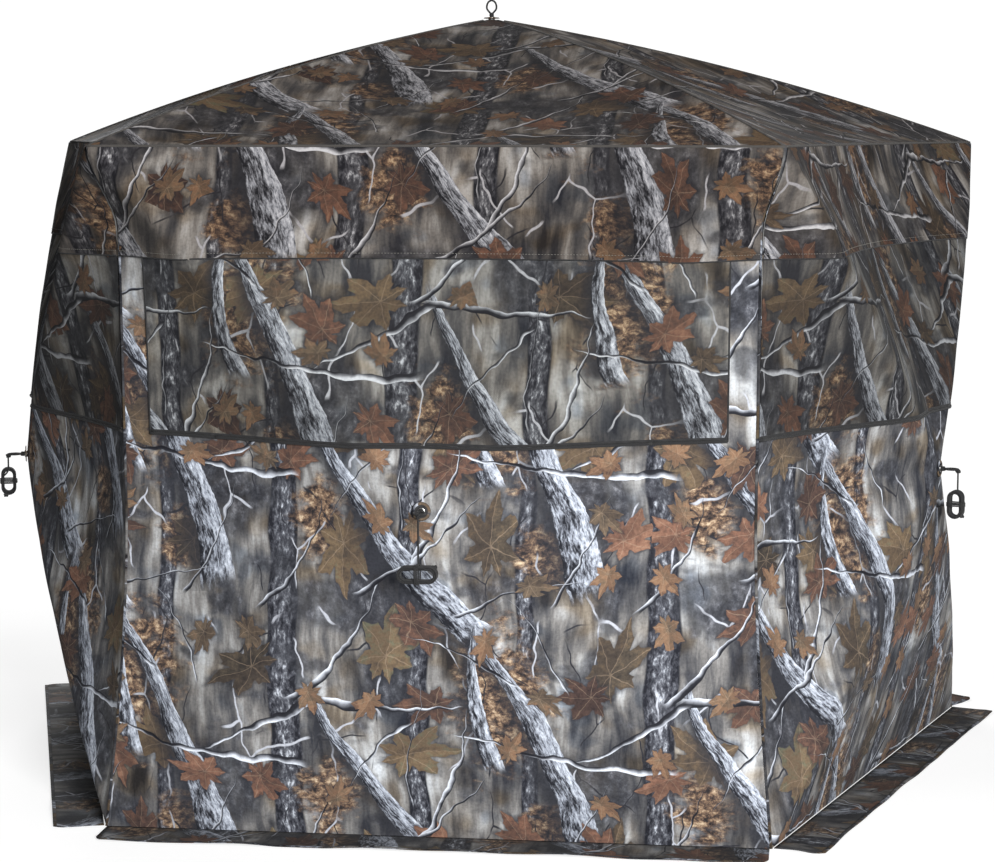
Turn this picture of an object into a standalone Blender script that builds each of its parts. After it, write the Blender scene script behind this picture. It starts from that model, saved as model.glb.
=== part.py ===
"""Pop up ground blind: a five sided fabric shelter on a hub and pole frame.

Each wall and the roof has a moulded hub in its middle. Rods run from the hub to the
corners of its panel and push the fabric out, and pulling or pushing a hub along its
panel's normal pops that panel out or lets it down. Metres, +Z up. The blind stands on
z = 0 with its front wall facing -Y.
"""

import math

import bpy
from mathutils import Matrix, Vector

# Shell
SIDES = 5
EAVE_HEIGHT = 1.48
BASE_SIDE = 1.449
EAVE_SIDE = 1.468
CENTRE_Y = -0.0607
FABRIC = 0.002
EDGE_GAP = 0.004

# Roof
ROOF_RISE = 0.302
ROOF_ARCH = 0.029
ROOF_HOLLOW = 0.030
ROOF_HOLE = 0.010

# Wall
HUB_SHARE = 0.496
WALL_BULGE = 0.143
WALL_POLE_BOW = 0.015
RIDGE_SHARPNESS = 10.0
HOLLOW_POWER = 1.3
SEAM_BOW = 0.079
SEAM_FLARE = 0.12
EAVE_BOW = 0.055
WINDOW_LOW = 0.583
WINDOW_HIGH = 0.840
WINDOW_LIFT = 0.0008
WINDOW_THICKNESS = 0.0012
FRONT_WINDOW_SPAN = 0.85

# Ground skirt
SKIRT_DEPTH = 0.11
SKIRT_THICKNESS = 0.002
SKIRT_CLIP = 0.012

# Hubs
HUB_RADIUS = 0.042
HUB_FRONT = -0.014
HUB_BACK = -0.032
HUB_PIVOT_RADIUS = 0.030
HUB_PIVOT_DEPTH = (HUB_FRONT + HUB_BACK) / 2
HUB_SLOT_WIDTH = 0.013
HUB_SLOT_START = 0.017
HUB_BOSS_RADIUS = 0.008
HUB_BORE_RADIUS = 0.0046
HUB_BORE_DEPTH = 0.020
HUB_CAP_RADIUS = 0.015
HUB_CAP_THICKNESS = 0.0025
HUB_CAP_GAP = 0.003
HUB_SEGMENTS = 16
PIN_RADIUS = 0.0020
EYE_RADIUS = 0.0024
EYE_SIDES = 8

# Poles
ROD_RADIUS = 0.0045
FERRULE_RADIUS = 0.0058
BLADE_HALF = (0.0045, 0.0046)
BLADE_END = 0.016
FERRULE_END = 0.080
TIP_LENGTH = 0.034
WALL_TIP_INSET = 0.034
WALL_TIP_DEPTH = -0.016
ROOF_TIP_INSET = 0.048
ROOF_TIP_DROP = 0.020
ROD_STEPS = 3
POLE_SIDES = 6

# Pull loops and tie-down cords
LOOP_CENTRE = 0.029
LOOP_HALF = (0.012, 0.016)
LOOP_CORD = 0.0023
STEM_RADIUS = 0.0038
STEM_START = -0.019
STEM_END = 0.015
CORD_RADIUS = 0.002
CORD_START_DROP = 0.004
HANK_TURN_RADIUS = 0.018
TOUCH = 0.0004

# Wall number, hanging length, hank length, hank thickness, and whether the hank lies level
CORDS = (
    (0, 0.100, 0.084, 0.026, True),
    (1, 0.042, 0.066, 0.034, False),
    (4, 0.030, 0.066, 0.034, False),
)

# Door, in the rear left wall
DOOR_WALL = 3
DOOR_GAP = 0.006
DOOR_AXIS_LIFT = 0.012
SLIDER_SIZE = (0.022, 0.012, 0.005)
SLIDER_TAB = (0.030, 0.009, 0.0016)
SLIDER_LIFT = 0.006
SLIDER_SIDE = 0.003

WALL_NAMES = ("front", "right", "rear_right", "rear_left", "left")
CORNERS = (("top_left", -1, 1), ("top_right", 1, 1), ("bottom_left", -1, -1), ("bottom_right", 1, -1))

# Worked out from the driving dimensions
TURN = 2 * math.pi / SIDES
HALF_TURN = TURN / 2
TAN_HALF = math.tan(HALF_TURN)
BASE_APOTHEM = BASE_SIDE / 2 / TAN_HALF
EAVE_APOTHEM = EAVE_SIDE / 2 / TAN_HALF
EAVE_RADIUS = EAVE_APOTHEM / math.cos(HALF_TURN)
WALL_LENGTH = math.hypot(EAVE_HEIGHT, EAVE_APOTHEM - BASE_APOTHEM)
LEAN = (EAVE_APOTHEM - BASE_APOTHEM) / WALL_LENGTH
HUB_LENGTH = HUB_SHARE * WALL_LENGTH
UPPER = WALL_LENGTH - HUB_LENGTH
WINDOW_LOW_LEVEL = (WINDOW_LOW - HUB_SHARE) / (1 - HUB_SHARE)
WINDOW_HIGH_LEVEL = (WINDOW_HIGH - HUB_SHARE) / (1 - HUB_SHARE)
HOLE_LEVEL = 0.0135
LEVELS = (HOLE_LEVEL, WINDOW_LOW_LEVEL, 0.42, WINDOW_HIGH_LEVEL, FRONT_WINDOW_SPAN, 1.0)
APEX = Vector((0.0, CENTRE_Y, EAVE_HEIGHT + ROOF_RISE))

COLOURS = {
    "camo_fabric": ((0.10, 0.09, 0.08, 1), 0.85, 0.0),
    "window_mesh": ((0.05, 0.05, 0.05, 1), 0.95, 0.0),
    "hub_plastic": ((0.02, 0.02, 0.02, 1), 0.45, 0.0),
    "fibreglass": ((0.03, 0.03, 0.03, 1), 0.35, 0.0),
    "cord": ((0.015, 0.015, 0.015, 1), 0.90, 0.0),
    "zip_metal": ((0.05, 0.05, 0.05, 1), 0.40, 0.8),
}


def clear_scene():
    for item in list(bpy.data.objects):
        bpy.data.objects.remove(item, do_unlink=True)


def material(slot):
    found = bpy.data.materials.get(slot)
    if found:
        return found
    colour, roughness, metallic = COLOURS[slot]
    made = bpy.data.materials.new(slot)
    made.use_nodes = True
    shader = made.node_tree.nodes["Principled BSDF"]
    shader.inputs["Base Color"].default_value = colour
    shader.inputs["Roughness"].default_value = roughness
    shader.inputs["Metallic"].default_value = metallic
    return made


def add_object(name, mesh, slot, place=None):
    made = bpy.data.objects.new(name, mesh)
    if not mesh.materials:
        mesh.materials.append(material(slot))
    bpy.context.scene.collection.objects.link(made)
    if place is not None:
        made.matrix_world = place
    return made


def mesh_from(name, points, faces):
    mesh = bpy.data.meshes.new(name)
    mesh.from_pydata([tuple(p) for p in points], [], faces)
    mesh.validate()
    return mesh


def frame_matrix(x_axis, y_axis, z_axis, origin):
    rotation = Matrix((x_axis, y_axis, z_axis)).transposed().to_4x4()
    return Matrix.Translation(origin) @ rotation


def smoothstep(value):
    value = min(1.0, max(0.0, value))
    return value * value * (3 - 2 * value)


# The shell's surface -------------------------------------------------------------------


def wall_frame(index):
    """x along the wall, y up it and z out of it, from the middle of its bottom edge."""
    angle = -math.pi / 2 + TURN * index
    level_out = Vector((math.cos(angle), math.sin(angle), 0))
    along = Vector((-math.sin(angle), math.cos(angle), 0))
    up = (level_out * (EAVE_APOTHEM - BASE_APOTHEM) + Vector((0, 0, EAVE_HEIGHT))).normalized()
    origin = Vector((0, CENTRE_Y, 0)) + level_out * BASE_APOTHEM
    return frame_matrix(along, up, along.cross(up), origin)


def seam_bow(up):
    """How far a corner seam is pulled in towards the middle, at a distance up the wall."""
    share = up / WALL_LENGTH
    rise = math.sin(math.pi / 2 * min(1.0, share / 0.5))
    return SEAM_BOW * rise * smoothstep((1 - share) / SEAM_FLARE)


def flat_half(up):
    """Half the width of the flat panel between its four corners."""
    return TAN_HALF * (BASE_APOTHEM + up * LEAN)


def seam_depth(up):
    return -seam_bow(up) * math.cos(HALF_TURN)


def seam_half(up):
    """Half the width between the seams, where two walls meet on their shared corner plane."""
    return flat_half(up) + TAN_HALF * seam_depth(up)


def eave_bow(across):
    return EAVE_BOW * (1 - min(1.0, (2 * across / EAVE_SIDE) ** 2))


def wall_depth(across, up):
    """How far the fabric stands out of the flat panel between its four corners."""
    p = min(1.0, abs(across) / flat_half(up))
    above = up > HUB_LENGTH
    q = min(1.0, (up - HUB_LENGTH) / UPPER if above else (HUB_LENGTH - up) / HUB_LENGTH)
    a, c = 1 - p, 1 - q
    k = RIDGE_SHARPNESS
    t = 2 ** (1 / k) * a * c / (a**k + c**k) ** (1 / k) if a > 0 and c > 0 else 0.0
    depth = WALL_BULGE * t + WALL_POLE_BOW * 4 * t * (1 - t)
    if p > q:
        seam = seam_half(up) / flat_half(up)
        share = min(1.0, (p - q) / (seam - q)) ** HOLLOW_POWER
        depth += (seam_depth(up) - depth) * share
    elif q > p and above:
        depth -= (depth + eave_bow(across)) * ((q - p) / (1 - p)) ** HOLLOW_POWER
    return depth


def wall_point(level_x, level_y):
    """A point of the panel from its two levels, -1 to 1 from the hub to each edge."""
    up = HUB_LENGTH + level_y * (UPPER if level_y > 0 else HUB_LENGTH)
    up = min(up, WALL_LENGTH - EDGE_GAP)
    limit = seam_half(up) - EDGE_GAP
    across = max(-limit, min(limit, level_x * flat_half(up)))
    return Vector((across, up, wall_depth(across, up)))


def roof_point(index, reach, side):
    """A point of one roof facet: reach 0 at the apex to 1 at the eave, side -1 to 1 along it."""
    angle = -math.pi / 2 + TURN * index
    out = Vector((math.cos(angle), math.sin(angle), 0))
    along = Vector((-math.sin(angle), math.cos(angle), 0))
    across = side * EAVE_SIDE / 2
    plan = (out * (EAVE_APOTHEM - eave_bow(across)) + along * across) * reach
    arch = ROOF_ARCH - (ROOF_ARCH + ROOF_HOLLOW) * (1 - side * side) * reach
    height = EAVE_HEIGHT + ROOF_RISE * (1 - reach) + arch * 4 * reach * (1 - reach)
    return Vector((plan.x, plan.y + CENTRE_Y, height))


# Fabric pieces -------------------------------------------------------------------------


def split_cell(low_left, low_right, high_right, high_left, rising):
    """Two triangles, split along the diagonal that runs out from the hub."""
    if rising:
        return [(low_left, low_right, high_right), (low_left, high_right, high_left)]
    return [(low_left, low_right, high_left), (low_right, high_right, high_left)]


def panel_mesh(name, columns, rows, skip=None, inset=None):
    """A sheet over a grid of levels. skip leaves out triangles by the levels of their middle."""
    place = inset or (lambda x, y: (x, y))
    points = [wall_point(*place(x, y)) for y in rows for x in columns]
    width = len(columns)
    faces = []
    for j in range(len(rows) - 1):
        for i in range(width - 1):
            corner = j * width + i
            rising = (columns[i] + columns[i + 1]) * (rows[j] + rows[j + 1]) > 0
            cells = split_cell(corner, corner + 1, corner + width + 1, corner + width, rising)
            for cell in cells:
                x = sum(columns[c % width] for c in cell) / 3
                y = sum(rows[c // width] for c in cell) / 3
                if skip is None or not skip(x, y):
                    faces.append(cell)
    used = sorted({c for face in faces for c in face})
    renumber = {old: new for new, old in enumerate(used)}
    return mesh_from(name, [points[u] for u in used], [tuple(renumber[c] for c in f) for f in faces])


def thicken(made, thickness, side):
    """side -1 grows inwards from the sheet and 1 outwards."""
    solid = made.modifiers.new("thickness", "SOLIDIFY")
    solid.thickness = thickness
    solid.offset = side
    solid.use_even_offset = True


def wall_levels():
    return [-v for v in reversed(LEVELS)] + list(LEVELS)


def in_hub_hole(x, y):
    return abs(x) < HOLE_LEVEL and abs(y) < HOLE_LEVEL


def in_doorway(x, y):
    """The side of the panel between its two right hand poles, short of hub and seam."""
    return LEVELS[1] < x < LEVELS[4] and abs(y) < x


def make_wall(index):
    levels = wall_levels()
    has_door = index == DOOR_WALL
    skip = (lambda x, y: in_hub_hole(x, y) or in_doorway(x, y)) if has_door else in_hub_hole
    name = "wall_" + WALL_NAMES[index]
    mesh = panel_mesh(name, levels, levels, skip)
    thicken(add_object(name, mesh, "camo_fabric", wall_frame(index)), FABRIC, -1)


def make_window(index):
    """The see-through mesh over the window band, laid on the outside of the wall."""
    if WALL_NAMES[index] == "front":
        columns = [v for v in wall_levels() if abs(v) <= FRONT_WINDOW_SPAN]
    else:
        columns = wall_levels()
    rows = [v for v in LEVELS if WINDOW_LOW_LEVEL <= v <= WINDOW_HIGH_LEVEL]
    name = "window_mesh_" + WALL_NAMES[index]
    mesh = panel_mesh(name, columns, rows)
    lift = Matrix.Translation((0, 0, WINDOW_LIFT))
    made = add_object(name, mesh, "window_mesh", wall_frame(index) @ lift)
    thicken(made, WINDOW_THICKNESS, 1)


def make_roof():
    reaches = (ROOF_HOLE / EAVE_APOTHEM, 0.12, 0.32, 0.56, 0.80, 1 - EDGE_GAP / EAVE_APOTHEM)
    steps = 6
    points, faces = [], []
    around = SIDES * steps
    for reach in reaches:
        for j in range(around):
            points.append(roof_point(j // steps, reach, -1 + 2 * (j % steps) / steps))
    for i in range(len(reaches) - 1):
        for j in range(around):
            k = (j + 1) % around
            low, high = i * around, (i + 1) * around
            faces.append((low + j, high + j, high + k, low + k))
    mesh = mesh_from("roof_canopy", points, faces)
    thicken(add_object("roof_canopy", mesh, "camo_fabric"), FABRIC, -1)


def make_skirt(index):
    """A flap on the ground outside the wall, with its free corners clipped."""
    half = BASE_SIDE / 2 - EDGE_GAP
    near, far = EDGE_GAP, EDGE_GAP + SKIRT_DEPTH
    outline = [(-half, near), (half, near), (half, far - SKIRT_CLIP), (half - SKIRT_CLIP, far)]
    outline += [(-half + SKIRT_CLIP, far), (-half, far - SKIRT_CLIP)]
    count = len(outline)
    points = [(x, y, z) for z in (0, SKIRT_THICKNESS) for x, y in outline]
    faces = prism_faces(count)
    name = "skirt_" + WALL_NAMES[index]
    add_object(name, mesh_from(name, points, faces), "camo_fabric", skirt_frame(index))


def skirt_frame(index):
    """x along the wall's foot, y out over the ground and z up."""
    angle = -math.pi / 2 + TURN * index
    out = Vector((math.cos(angle), math.sin(angle), 0))
    along = Vector((-math.sin(angle), math.cos(angle), 0))
    foot = Vector((0, CENTRE_Y, 0)) + out * BASE_APOTHEM
    turned = Matrix((-along, out, Vector((0, 0, 1)))).transposed().to_4x4()
    return Matrix.Translation(foot) @ turned


# Door ----------------------------------------------------------------------------------


def door_inset(x, y):
    """Draws the door's outline in from the doorway's by the gap, in levels."""
    gap = DOOR_GAP / flat_half(HUB_LENGTH)
    x = min(max(x, LEVELS[1] + gap), LEVELS[4] - gap)
    reach = max(0.0, x - 2 * gap)
    return x, min(max(y, -reach), reach)


def door_frame():
    """x along the door's fold line, just outside the lower pole's ridge, z out of the wall."""
    start = wall_point(LEVELS[1], -LEVELS[1])
    end = wall_point(LEVELS[4], -LEVELS[4])
    along = (end - start).normalized()
    side = Vector((0, 0, 1)).cross(along).normalized()
    fold = frame_matrix(along, side, along.cross(side), start + Vector((0, 0, DOOR_AXIS_LIFT)))
    return wall_frame(DOOR_WALL) @ fold


def make_door():
    columns = [v for v in LEVELS if LEVELS[1] <= v <= LEVELS[4]]
    rows = [-v for v in reversed(columns)] + columns
    mesh = panel_mesh("door_flap", columns, rows, lambda x, y: abs(y) > x, door_inset)
    place = door_frame()
    mesh.transform(place.inverted() @ wall_frame(DOOR_WALL))
    thicken(add_object("door_flap", mesh, "camo_fabric", place), FABRIC, -1)


def slider_frame():
    """x along the upper edge of the doorway towards the hub, z out of the wall.

    The slider sits a little to the wall's side, so the door swings clear of it."""
    place = wall_frame(DOOR_WALL)
    outer = wall_point(0.80, 0.80)
    inner = wall_point(0.30, 0.30)
    along = (inner - outer).normalized()
    out = Vector((0, 0, 1))
    out = (out - along * out.dot(along)).normalized()
    side = out.cross(along)
    shift = out * SLIDER_LIFT - side * SLIDER_SIDE
    return place @ frame_matrix(along, side, out, outer + shift)


def make_slider():
    body = box_points(SLIDER_SIZE, (0, 0, SLIDER_SIZE[2] / 2))
    tab = box_points(SLIDER_TAB, (-SLIDER_TAB[0] / 2, 0, SLIDER_SIZE[2] + SLIDER_TAB[2] / 2 - TOUCH))
    made = add_object("door_zip_slider", solid_box("slider", body), "zip_metal", slider_frame())
    join_boolean(made, solid_box("slider_tab", tab), "UNION")


# Solids --------------------------------------------------------------------------------


def box_points(size, centre):
    corners = []
    for dz in (-0.5, 0.5):
        for dx, dy in ((-0.5, -0.5), (0.5, -0.5), (0.5, 0.5), (-0.5, 0.5)):
            corners.append((centre[0] + dx * size[0], centre[1] + dy * size[1], centre[2] + dz * size[2]))
    return corners


def prism_faces(count):
    """Faces of a prism on an anticlockwise outline, its bottom points first."""
    faces = [tuple(reversed(range(count))), tuple(range(count, 2 * count))]
    for i in range(count):
        k = (i + 1) % count
        faces.append((i, k, k + count, i + count))
    return faces


def solid_box(name, corners):
    faces = [(0, 3, 2, 1), (4, 5, 6, 7), (0, 1, 5, 4), (1, 2, 6, 5), (2, 3, 7, 6), (3, 0, 4, 7)]
    return mesh_from(name, corners, faces)


def lathe(name, profile, segments):
    """Turns a closed profile of (radius, height) points, listed up its outer side, about z."""
    points, faces, rings = [], [], []
    for radius, height in profile:
        if radius < 1e-9:
            rings.append([len(points)])
            points.append((0, 0, height))
            continue
        rings.append(list(range(len(points), len(points) + segments)))
        for j in range(segments):
            angle = 2 * math.pi * j / segments
            points.append((radius * math.cos(angle), radius * math.sin(angle), height))
    for low, high in zip(rings, rings[1:]):
        for j in range(segments):
            k = (j + 1) % segments
            if len(low) == 1:
                faces.append((low[0], high[k], high[j]))
            elif len(high) == 1:
                faces.append((low[j], low[k], high[0]))
            else:
                faces.append((low[j], low[k], high[k], high[j]))
    return mesh_from(name, points, faces)


def loft(name, sections, closed=False):
    """Skins rings of the same number of points, with flat ends unless closed."""
    count = len(sections[0])
    points = [p for ring in sections for p in ring]
    faces = []
    for i in range(len(sections) if closed else len(sections) - 1):
        low, high = i * count, (i + 1) % len(sections) * count
        for j in range(count):
            k = (j + 1) % count
            faces.append((low + j, low + k, high + k, high + j))
    if not closed:
        faces.append(tuple(reversed(range(count))))
        faces.append(tuple(range(len(points) - count, len(points))))
    return mesh_from(name, points, faces)


def rod_between(name, start, end, radius, sides):
    """A plain cylinder between two points."""
    axis = (end - start).normalized()
    helper = Vector((0, 0, 1)) if abs(axis.z) < 0.9 else Vector((1, 0, 0))
    first = axis.cross(helper).normalized()
    second = axis.cross(first)
    rings = []
    for centre in (start, end):
        ring = []
        for j in range(sides):
            angle = 2 * math.pi * j / sides
            ring.append(centre + (first * math.cos(angle) + second * math.sin(angle)) * radius)
        rings.append(ring)
    return loft(name, rings)


def join_boolean(made, tool_mesh, operation):
    """Adds or cuts a tool, which stays as a hidden wire helper parented to its piece."""
    tool = add_object(made.name + "_" + tool_mesh.name, tool_mesh, "hub_plastic", made.matrix_world)
    tool.hide_render = True
    tool.display_type = "WIRE"
    change = made.modifiers.new(tool_mesh.name, "BOOLEAN")
    change.operation = operation
    change.object = tool
    return tool


def settled_mesh(made, name):
    """The object's mesh with its modifiers worked in, for pieces that share it."""
    graph = bpy.context.evaluated_depsgraph_get()
    mesh = bpy.data.meshes.new_from_object(made.evaluated_get(graph))
    mesh.name = name
    tools = [change.object for change in made.modifiers if change.type == "BOOLEAN"]
    for item in [made] + tools:
        bpy.data.objects.remove(item, do_unlink=True)
    return mesh


# Hubs ----------------------------------------------------------------------------------


def hub_profile():
    cap = HUB_CAP_GAP - FABRIC
    top = cap + HUB_CAP_THICKNESS
    flange = HUB_RADIUS
    return [
        (0, HUB_BACK),
        (flange - 0.003, HUB_BACK),
        (flange, HUB_BACK + 0.003),
        (flange, HUB_FRONT - 0.002),
        (flange - 0.002, HUB_FRONT),
        (HUB_BOSS_RADIUS, HUB_FRONT),
        (HUB_BOSS_RADIUS, cap),
        (HUB_CAP_RADIUS, cap),
        (HUB_CAP_RADIUS - 0.001, top),
        (HUB_BORE_RADIUS, top),
        (HUB_BORE_RADIUS, -HUB_BORE_DEPTH),
        (0, -HUB_BORE_DEPTH),
    ]


def hub_mesh(name, directions):
    """A flange with an open slot and a cross pin for each pole, and a boss with a cap."""
    made = add_object(name, lathe(name, hub_profile(), HUB_SEGMENTS), "hub_plastic")
    for number, angle in enumerate(directions):
        out = Vector((math.cos(angle), math.sin(angle), 0))
        side = Vector((-out.y, out.x, 0))
        middle = out * (HUB_SLOT_START + HUB_RADIUS) / 2 + out * 0.005
        size = (HUB_RADIUS - HUB_SLOT_START + 0.01, HUB_SLOT_WIDTH, 0.03)
        slot = solid_box(f"slot_{number}", box_points(size, (0, 0, HUB_PIVOT_DEPTH)))
        slot.transform(frame_matrix(out, side, Vector((0, 0, 1)), middle))
        join_boolean(made, slot, "DIFFERENCE")
    for number, angle in enumerate(directions):
        out = Vector((math.cos(angle), math.sin(angle), 0))
        side = Vector((-out.y, out.x, 0)) * (HUB_SLOT_WIDTH / 2 + 0.003)
        centre = out * HUB_PIVOT_RADIUS + Vector((0, 0, HUB_PIVOT_DEPTH))
        pin = rod_between(f"pin_{number}", centre - side, centre + side, PIN_RADIUS, EYE_SIDES)
        join_boolean(made, pin, "UNION")
    return settled_mesh(made, name)


def wall_hub_frame(index):
    """The hub's frame: x along the wall, y up it, z out, at the fabric's outer face."""
    return wall_frame(index) @ Matrix.Translation((0, HUB_LENGTH, WALL_BULGE))


def roof_hub_frame():
    return Matrix.Translation(APEX)


def wall_pole_angle(side, up):
    """The direction of a pole in its hub's own plane."""
    corner = wall_corner(side, up)
    return math.atan2(corner.y - HUB_LENGTH, corner.x)


def roof_pole_angle(index):
    return -math.pi / 2 + TURN * (index + 0.5)


def make_hubs():
    wall_hub = hub_mesh("wall_hub", [wall_pole_angle(side, up) for _, side, up in CORNERS])
    roof_hub = hub_mesh("roof_hub", [roof_pole_angle(i) for i in range(SIDES)])
    for index, wall in enumerate(WALL_NAMES):
        add_object("hub_" + wall, wall_hub, "hub_plastic", wall_hub_frame(index))
    add_object("hub_roof", roof_hub, "hub_plastic", roof_hub_frame())


# Poles ---------------------------------------------------------------------------------


def wall_corner(side, up):
    """Where a pole's tip sits inside the corner of its panel, in the wall's frame."""
    along = WALL_LENGTH - WALL_TIP_INSET if up > 0 else WALL_TIP_INSET
    return Vector((side * (flat_half(along) - WALL_TIP_INSET), along, WALL_TIP_DEPTH))


def wall_pole_ends(index, side, up):
    """Pivot and tip of a wall pole, in world space."""
    tip = wall_corner(side, up)
    angle = wall_pole_angle(side, up)
    reach = Vector((math.cos(angle), math.sin(angle), 0)) * HUB_PIVOT_RADIUS
    pivot = reach + Vector((0, 0, HUB_PIVOT_DEPTH))
    return wall_hub_frame(index) @ pivot, wall_frame(index) @ tip


def roof_pole_ends(index):
    angle = roof_pole_angle(index)
    out = Vector((math.cos(angle), math.sin(angle), 0))
    pivot = APEX + out * HUB_PIVOT_RADIUS + Vector((0, 0, HUB_PIVOT_DEPTH))
    tip = Vector((0, CENTRE_Y, EAVE_HEIGHT - ROOF_TIP_DROP)) + out * (EAVE_RADIUS - ROOF_TIP_INSET)
    return pivot, tip


def pole_frame(pivot, tip, outward):
    """x along the pole, y on its hinge axis, z towards the fabric."""
    along = (tip - pivot).normalized()
    hinge = outward.cross(along).normalized()
    return frame_matrix(along, hinge, along.cross(hinge), pivot)


def pole_mesh(name, length, bow):
    """Flat eye, ferrule, bowed rod and tip cap, along +x from the pivot."""
    blade_y, blade_z = BLADE_HALF
    stations = [(-0.0055, blade_y, blade_z), (BLADE_END - 0.002, blade_y, blade_z)]
    stations += [(BLADE_END, FERRULE_RADIUS, FERRULE_RADIUS), (FERRULE_END, FERRULE_RADIUS, FERRULE_RADIUS)]
    first, last = FERRULE_END + 0.001, length - TIP_LENGTH - 0.001
    for i in range(ROD_STEPS + 1):
        stations.append((first + (last - first) * i / ROD_STEPS, ROD_RADIUS, ROD_RADIUS))
    stations.append((length - TIP_LENGTH, FERRULE_RADIUS, FERRULE_RADIUS))
    stations.append((length - 0.003, FERRULE_RADIUS, FERRULE_RADIUS))
    stations.append((length, ROD_RADIUS * 0.7, ROD_RADIUS * 0.7))
    sections = []
    for x, half_y, half_z in stations:
        share = min(1.0, max(0.0, x / length))
        middle = bow * 4 * share * (1 - share)
        ring = []
        for j in range(POLE_SIDES):
            angle = 2 * math.pi * (j + 0.5) / POLE_SIDES
            ring.append((x, half_y * math.cos(angle), middle + half_z * math.sin(angle)))
        sections.append(ring)
    made = add_object(name, loft(name, sections), "fibreglass")
    eye = rod_between("eye", Vector((0, -0.01, 0)), Vector((0, 0.01, 0)), EYE_RADIUS, EYE_SIDES)
    join_boolean(made, eye, "DIFFERENCE")
    return settled_mesh(made, name)


def make_poles():
    meshes = {}
    for name, side, up in CORNERS:
        if up not in meshes:
            pivot, tip = wall_pole_ends(0, side, up)
            meshes[up] = pole_mesh(f"wall_pole_{up}", (tip - pivot).length, WALL_POLE_BOW)
    for index, wall in enumerate(WALL_NAMES):
        outward = wall_frame(index).to_3x3() @ Vector((0, 0, 1))
        for name, side, up in CORNERS:
            pivot, tip = wall_pole_ends(index, side, up)
            place = pole_frame(pivot, tip, outward)
            add_object(f"pole_{wall}_{name}", meshes[up], "fibreglass", place)
    pivot, tip = roof_pole_ends(0)
    roof_mesh = pole_mesh("roof_pole", (tip - pivot).length, ROOF_ARCH)
    for index in range(SIDES):
        pivot, tip = roof_pole_ends(index)
        place = pole_frame(pivot, tip, Vector((0, 0, 1)))
        add_object(f"pole_roof_{index + 1}", roof_mesh, "fibreglass", place)


# Pull loops and tie-down cords ---------------------------------------------------------


def pull_mesh():
    """A cord ring on a bound stem that plugs into the hub's bore, along +z."""
    around, sides = 14, 5
    half_x, half_z = LOOP_HALF
    sections = []
    for i in range(around):
        angle = 2 * math.pi * i / around
        centre = Vector((half_x * math.sin(angle), 0, LOOP_CENTRE + half_z * math.cos(angle)))
        normal = Vector((half_z * math.sin(angle), 0, half_x * math.cos(angle))).normalized()
        ring = []
        for j in range(sides):
            turn = 2 * math.pi * j / sides
            ring.append(centre + (normal * math.cos(turn) + Vector((0, 1, 0)) * math.sin(turn)) * LOOP_CORD)
        sections.append(ring)
    made = add_object("pull", loft("pull", sections, closed=True), "cord")
    stem = rod_between("stem", Vector((0, 0, STEM_START)), Vector((0, 0, STEM_END)), STEM_RADIUS, 8)
    join_boolean(made, stem, "UNION")
    return settled_mesh(made, "pull")


def make_pulls():
    mesh = pull_mesh()
    for index, wall in enumerate(WALL_NAMES):
        add_object("pull_" + wall, mesh, "cord", wall_hub_frame(index))
    add_object("pull_roof", mesh, "cord", roof_hub_frame())


def cord_route(index, drop):
    """From under the pull loop's end, straight down by the drop."""
    start = wall_hub_frame(index) @ Vector((0, 0, LOOP_CENTRE + LOOP_HALF[1]))
    start = start - Vector((0, 0, CORD_START_DROP))
    count = max(3, round(drop / 0.011))
    return [start - Vector((0, 0, drop * i / count)) for i in range(count + 1)]


def make_cord(index, drop):
    name = "cord_" + WALL_NAMES[index]
    curve = bpy.data.curves.new(name, "CURVE")
    curve.dimensions = "3D"
    curve.bevel_depth = CORD_RADIUS
    curve.bevel_resolution = 2
    curve.render_resolution_u = 0
    curve.use_fill_caps = True
    route = cord_route(index, drop)
    spline = curve.splines.new("POLY")
    spline.points.add(len(route) - 1)
    for point, place in zip(spline.points, route):
        point.co = (*place, 1)
    made = bpy.data.objects.new(name, curve)
    curve.materials.append(material("cord"))
    bpy.context.scene.collection.objects.link(made)
    return route[-1]


def hank_frame(index, middle, lying):
    """x along the hank and z through it: level along the wall, or hanging straight down."""
    angle = -math.pi / 2 + TURN * index
    along = Vector((-math.sin(angle), math.cos(angle), 0))
    out = Vector((math.cos(angle), math.sin(angle), 0))
    up = Vector((0, 0, 1))
    if lying:
        return frame_matrix(along, up, along.cross(up), middle)
    return frame_matrix(-up, out, up.cross(-out), middle)


def make_hank(index, top, long, thick, lying):
    """The wound cord: a stadium outline, long by twice the turn radius, and thick across."""
    half = long / 2 - HANK_TURN_RADIUS
    radius = HANK_TURN_RADIUS
    outline = []
    for end, start in ((1, -math.pi / 2), (-1, math.pi / 2)):
        for i in range(7):
            angle = start + math.pi * i / 6
            outline.append((end * half + radius * math.cos(angle), radius * math.sin(angle)))
    count = len(outline)
    points = [(x, y, z) for z in (-thick / 2, thick / 2) for x, y in outline]
    faces = prism_faces(count)
    name = f"cord_{WALL_NAMES[index]}_hank"
    height = HANK_TURN_RADIUS if lying else long / 2
    middle = top - Vector((0, 0, height + TOUCH))
    add_object(name, mesh_from(name, points, faces), "cord", hank_frame(index, middle, lying))


def make_cords():
    for index, drop, long, thick, lying in CORDS:
        end = make_cord(index, drop)
        make_hank(index, end, long, thick, lying)


def main():
    clear_scene()
    for index in range(SIDES):
        make_wall(index)
        make_skirt(index)
    for index in (0, 1, 4):
        make_window(index)
    make_roof()
    make_door()
    make_slider()
    make_hubs()
    make_poles()
    make_pulls()
    make_cords()


main()
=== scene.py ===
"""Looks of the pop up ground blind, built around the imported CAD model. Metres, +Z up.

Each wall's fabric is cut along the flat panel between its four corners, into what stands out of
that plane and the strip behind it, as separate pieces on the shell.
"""

import math

import bmesh
import bpy
from mathutils import Matrix, Vector, noise


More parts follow.
